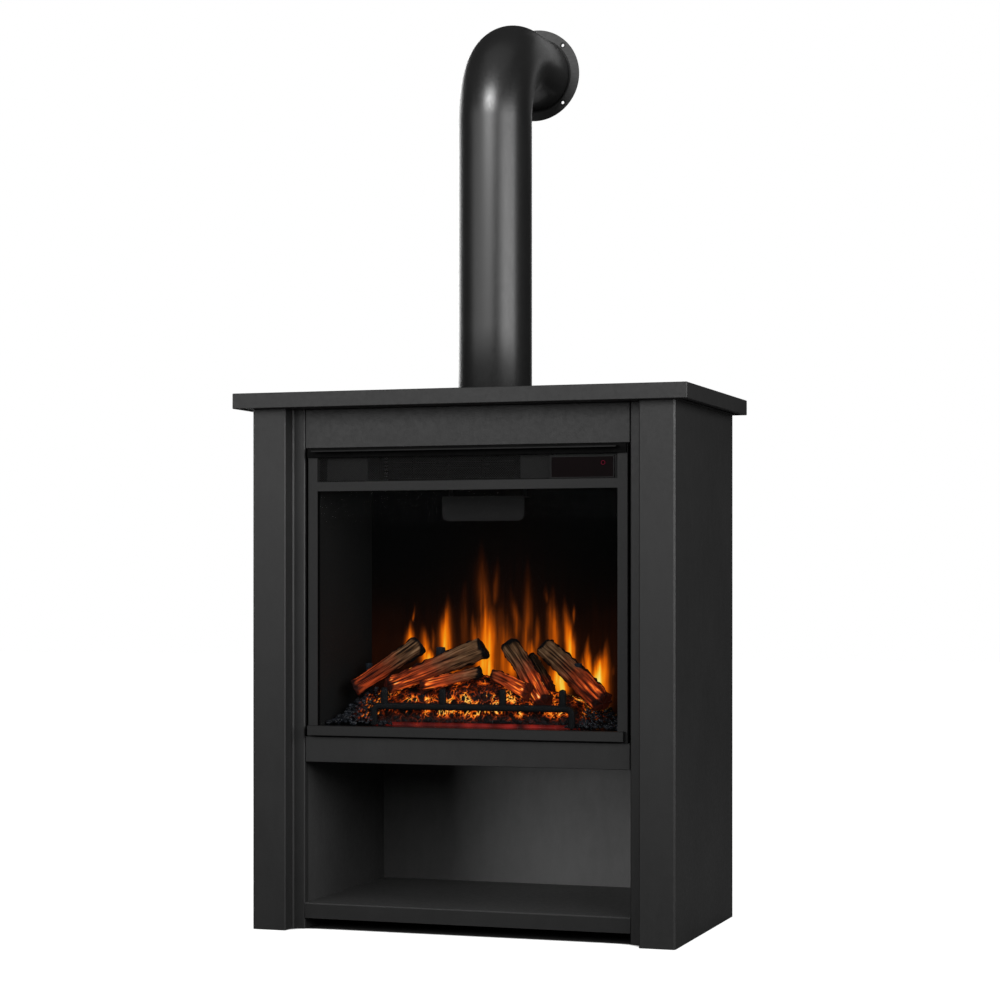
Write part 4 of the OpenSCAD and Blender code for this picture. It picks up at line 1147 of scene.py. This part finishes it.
def make_coals():
    """Heaps of loose coals at both ends of the bed, and a line of them along its foot; coals near the bed get
    painted ember light on the sides that face it.
    """
    rng = random.Random(11)
    tray_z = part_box("hearth_tray")[1].z
    bed_lo, bed_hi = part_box("ember_bed")
    wall_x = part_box("side_liners")[1].x
    front_y, back_y = bed_lo.y - 20 * MM, bed_lo.y + 90 * MM
    places = []
    heaps = ((-1, -bed_lo.x - 10 * MM, 62 * MM, 620), (1, bed_hi.x - 8 * MM, 40 * MM, 330))
    for side, inner, peak, count in heaps:
        for _ in range(count):
            y = front_y + (back_y - front_y) * rng.random()
            outer = wall_x - 9 * MM - 0.236 * (y - front_y)
            far = rng.random()
            x = inner + (outer - inner) * far
            back = (y - front_y) / (back_y - front_y)
            top = peak * (0.16 + 0.84 * min(1.0, back * 2.2)) * (1 - 0.80 * far**2.2)
            size = rng.uniform(4, 9) * MM
            places.append((side * x, y, tray_z + size * 0.3 + top * rng.random() ** 0.5, size))
    for _ in range(90):
        x = rng.choice((rng.uniform(-0.205, -0.150), rng.uniform(0.165, 0.215)))
        size = rng.uniform(4, 8) * MM
        places.append((x, bed_lo.y + rng.uniform(-4, 4) * MM, tray_z + size * rng.uniform(0.3, 1.0), size))
    verts, faces, light = [], [], []
    for x, y, z, size in places:
        v, f = rock(rng, size)
        lowest = min(p.z for p in v)
        z = max(z, tray_z - lowest)
        join(verts, faces, [p + Vector((x, y, z)) for p in v], f)
        # Painted light: coals near the bed glow on their sides towards it and underneath, as light from the
        # embers falling on them.
        near = ease(42 * MM, 8 * MM, max(bed_lo.x - x, x - bed_hi.x))
        near *= ease(tray_z + 8 * MM, tray_z + 20 * MM, z) * (rng.random() < 0.55)
        inward = math.copysign(1.0, -x)
        for p in v:
            warm = near * ease(0.15, 0.95, (0.7 * p.x * inward - 0.6 * p.z) / (size / 2))
            light.append(blend_colours(1.05 * warm, EMBER_STOPS))
    o = new_piece("coal_heap", verts, faces, "coal_resin", "coals", smooth=False)
    paint_points(o, light=light)


make_coals()


# ---- stage and light

def make_floor():
    """Plain white floor, bright to the eye but giving little light to the object; its glow fades with ambient
    occlusion into a painted contact shadow under the cabinet.
    """
    half = 14.0
    mesh = bpy.data.meshes.new("floor")
    corners = [(-half, -half, 0), (half, -half, 0), (half, half, 0), (-half, half, 0)]
    mesh.from_pydata(corners, [], [(0, 1, 2, 3)])
    mesh.update()
    s = Shader("floor")
    # Painted shadow: the glow to the eye dims where ambient occlusion finds the cabinet close above.
    shade = s.add("AmbientOcclusion", {"Distance": 0.05}, samples=32)
    s.link(s.map(shade.outputs["AO"], 0.0, 1.06, 0.34, 0.49), s.bsdf.inputs["Emission Strength"])
    s.set(Roughness=0.9, Base_Color=(0.02, 0.02, 0.02, 1), Emission_Color=(1, 1, 1, 1))
    dark = s.add("BsdfDiffuse", {"Color": (0.08, 0.08, 0.08, 1)})
    s.for_camera(s.bsdf, dark, s.tree.nodes["Material Output"])
    mesh.materials.append(s.mat)
    add_object("floor", mesh)


def make_world():
    """White to the eye; a dim grey for light and reflections."""
    world = bpy.data.worlds.new("studio")
    world.use_nodes = True
    bpy.context.scene.world = world
    n = Nodes(world.node_tree)
    n.tree.nodes.clear()
    white, dim = [n.add("Background", {"Color": (1, 1, 1, 1), "Strength": k}) for k in (1.0, 0.035)]
    n.for_camera(white, dim, n.add("OutputWorld"))


def softbox(name, azimuth, distance, height, wide, tall, power, aim=(0, 0, 0.8), shine=True, only=()):
    """Rectangular lamp round the object; azimuth 0 is in front, positive to the right.

    Without shine it shows in no reflection; with only, it lights nothing but those objects.
    """
    a = math.radians(azimuth)
    data = bpy.data.lights.new(name, "AREA")
    data.shape = "RECTANGLE"
    data.size = wide
    data.size_y = tall
    data.energy = power
    o = add_object(name, data)
    o.location = (distance * math.sin(a), -distance * math.cos(a), height)
    o.rotation_euler = (Vector(aim) - o.location).to_track_quat("-Z", "Y").to_euler()
    o.visible_camera = False
    o.visible_glossy = shine
    if only:
        lit = bpy.data.collections.new(name + "_receivers")
        for receiver in only:
            lit.objects.link(receiver)
        o.light_linking.receiver_collection = lit


def make_lights():
    """Wide dim box at the left, brighter ones at the right, soft fills, and boxes for the pipe's streaks."""
    softbox("left_box", -20, 3.6, 1.65, 4.6, 1.7, 51, aim=(0, 0, 1.1))
    softbox("right_box", 48, 3.6, 1.65, 2.1, 1.7, 45, aim=(0, 0, 1.1))
    softbox("side_strip", 74, 3.6, 1.60, 0.8, 1.9, 38, aim=(0, 0, 1.0))
    black_metal = (pipe, nodes["wall_flange"])
    softbox("pipe_key", 1.0, 2.65, 2.78, 1.35, 0.80, 112, aim=(0, -0.15, 1.45), only=black_metal)
    softbox("pipe_core", -4, 3.6, 2.25, 1.3, 0.9, 3, aim=(0, 0, 1.3), only=black_metal)
    softbox("pipe_streak", 54, 3.6, 1.65, 1.4, 1.9, 27, aim=(0, 0, 1.3), only=black_metal)
    softbox("pipe_rim", 187, 3.0, 1.4, 1.6, 2.0, 5, aim=(0, 0, 1.3), only=black_metal)
    softbox("elbow_side", 166, 2.8, 2.7, 1.6, 1.2, 3, aim=(0, 0.1, 1.55), only=black_metal)
    softbox("top_fill", 10, 0.8, 4.2, 3.2, 2.4, 8, aim=(0, 0, 0.9))
    softbox("back_fill", 170, 2.6, 4.4, 3.0, 1.6, 60, aim=(0, 0, 0.8), shine=False)
    softbox("rear_box", 216, 3.6, 1.7, 3.6, 2.0, 110, aim=(0, 0, 0.9))
    softbox("low_left", -34, 3.2, 0.35, 1.2, 0.6, 108, aim=(0, 0, 0.2), shine=False,
            only=(nodes["back_panel"], nodes["right_inner_panel"]))


make_floor()
make_world()
make_lights()

view = bpy.context.scene.view_settings
view.view_transform = "Standard"
view.look = "None"
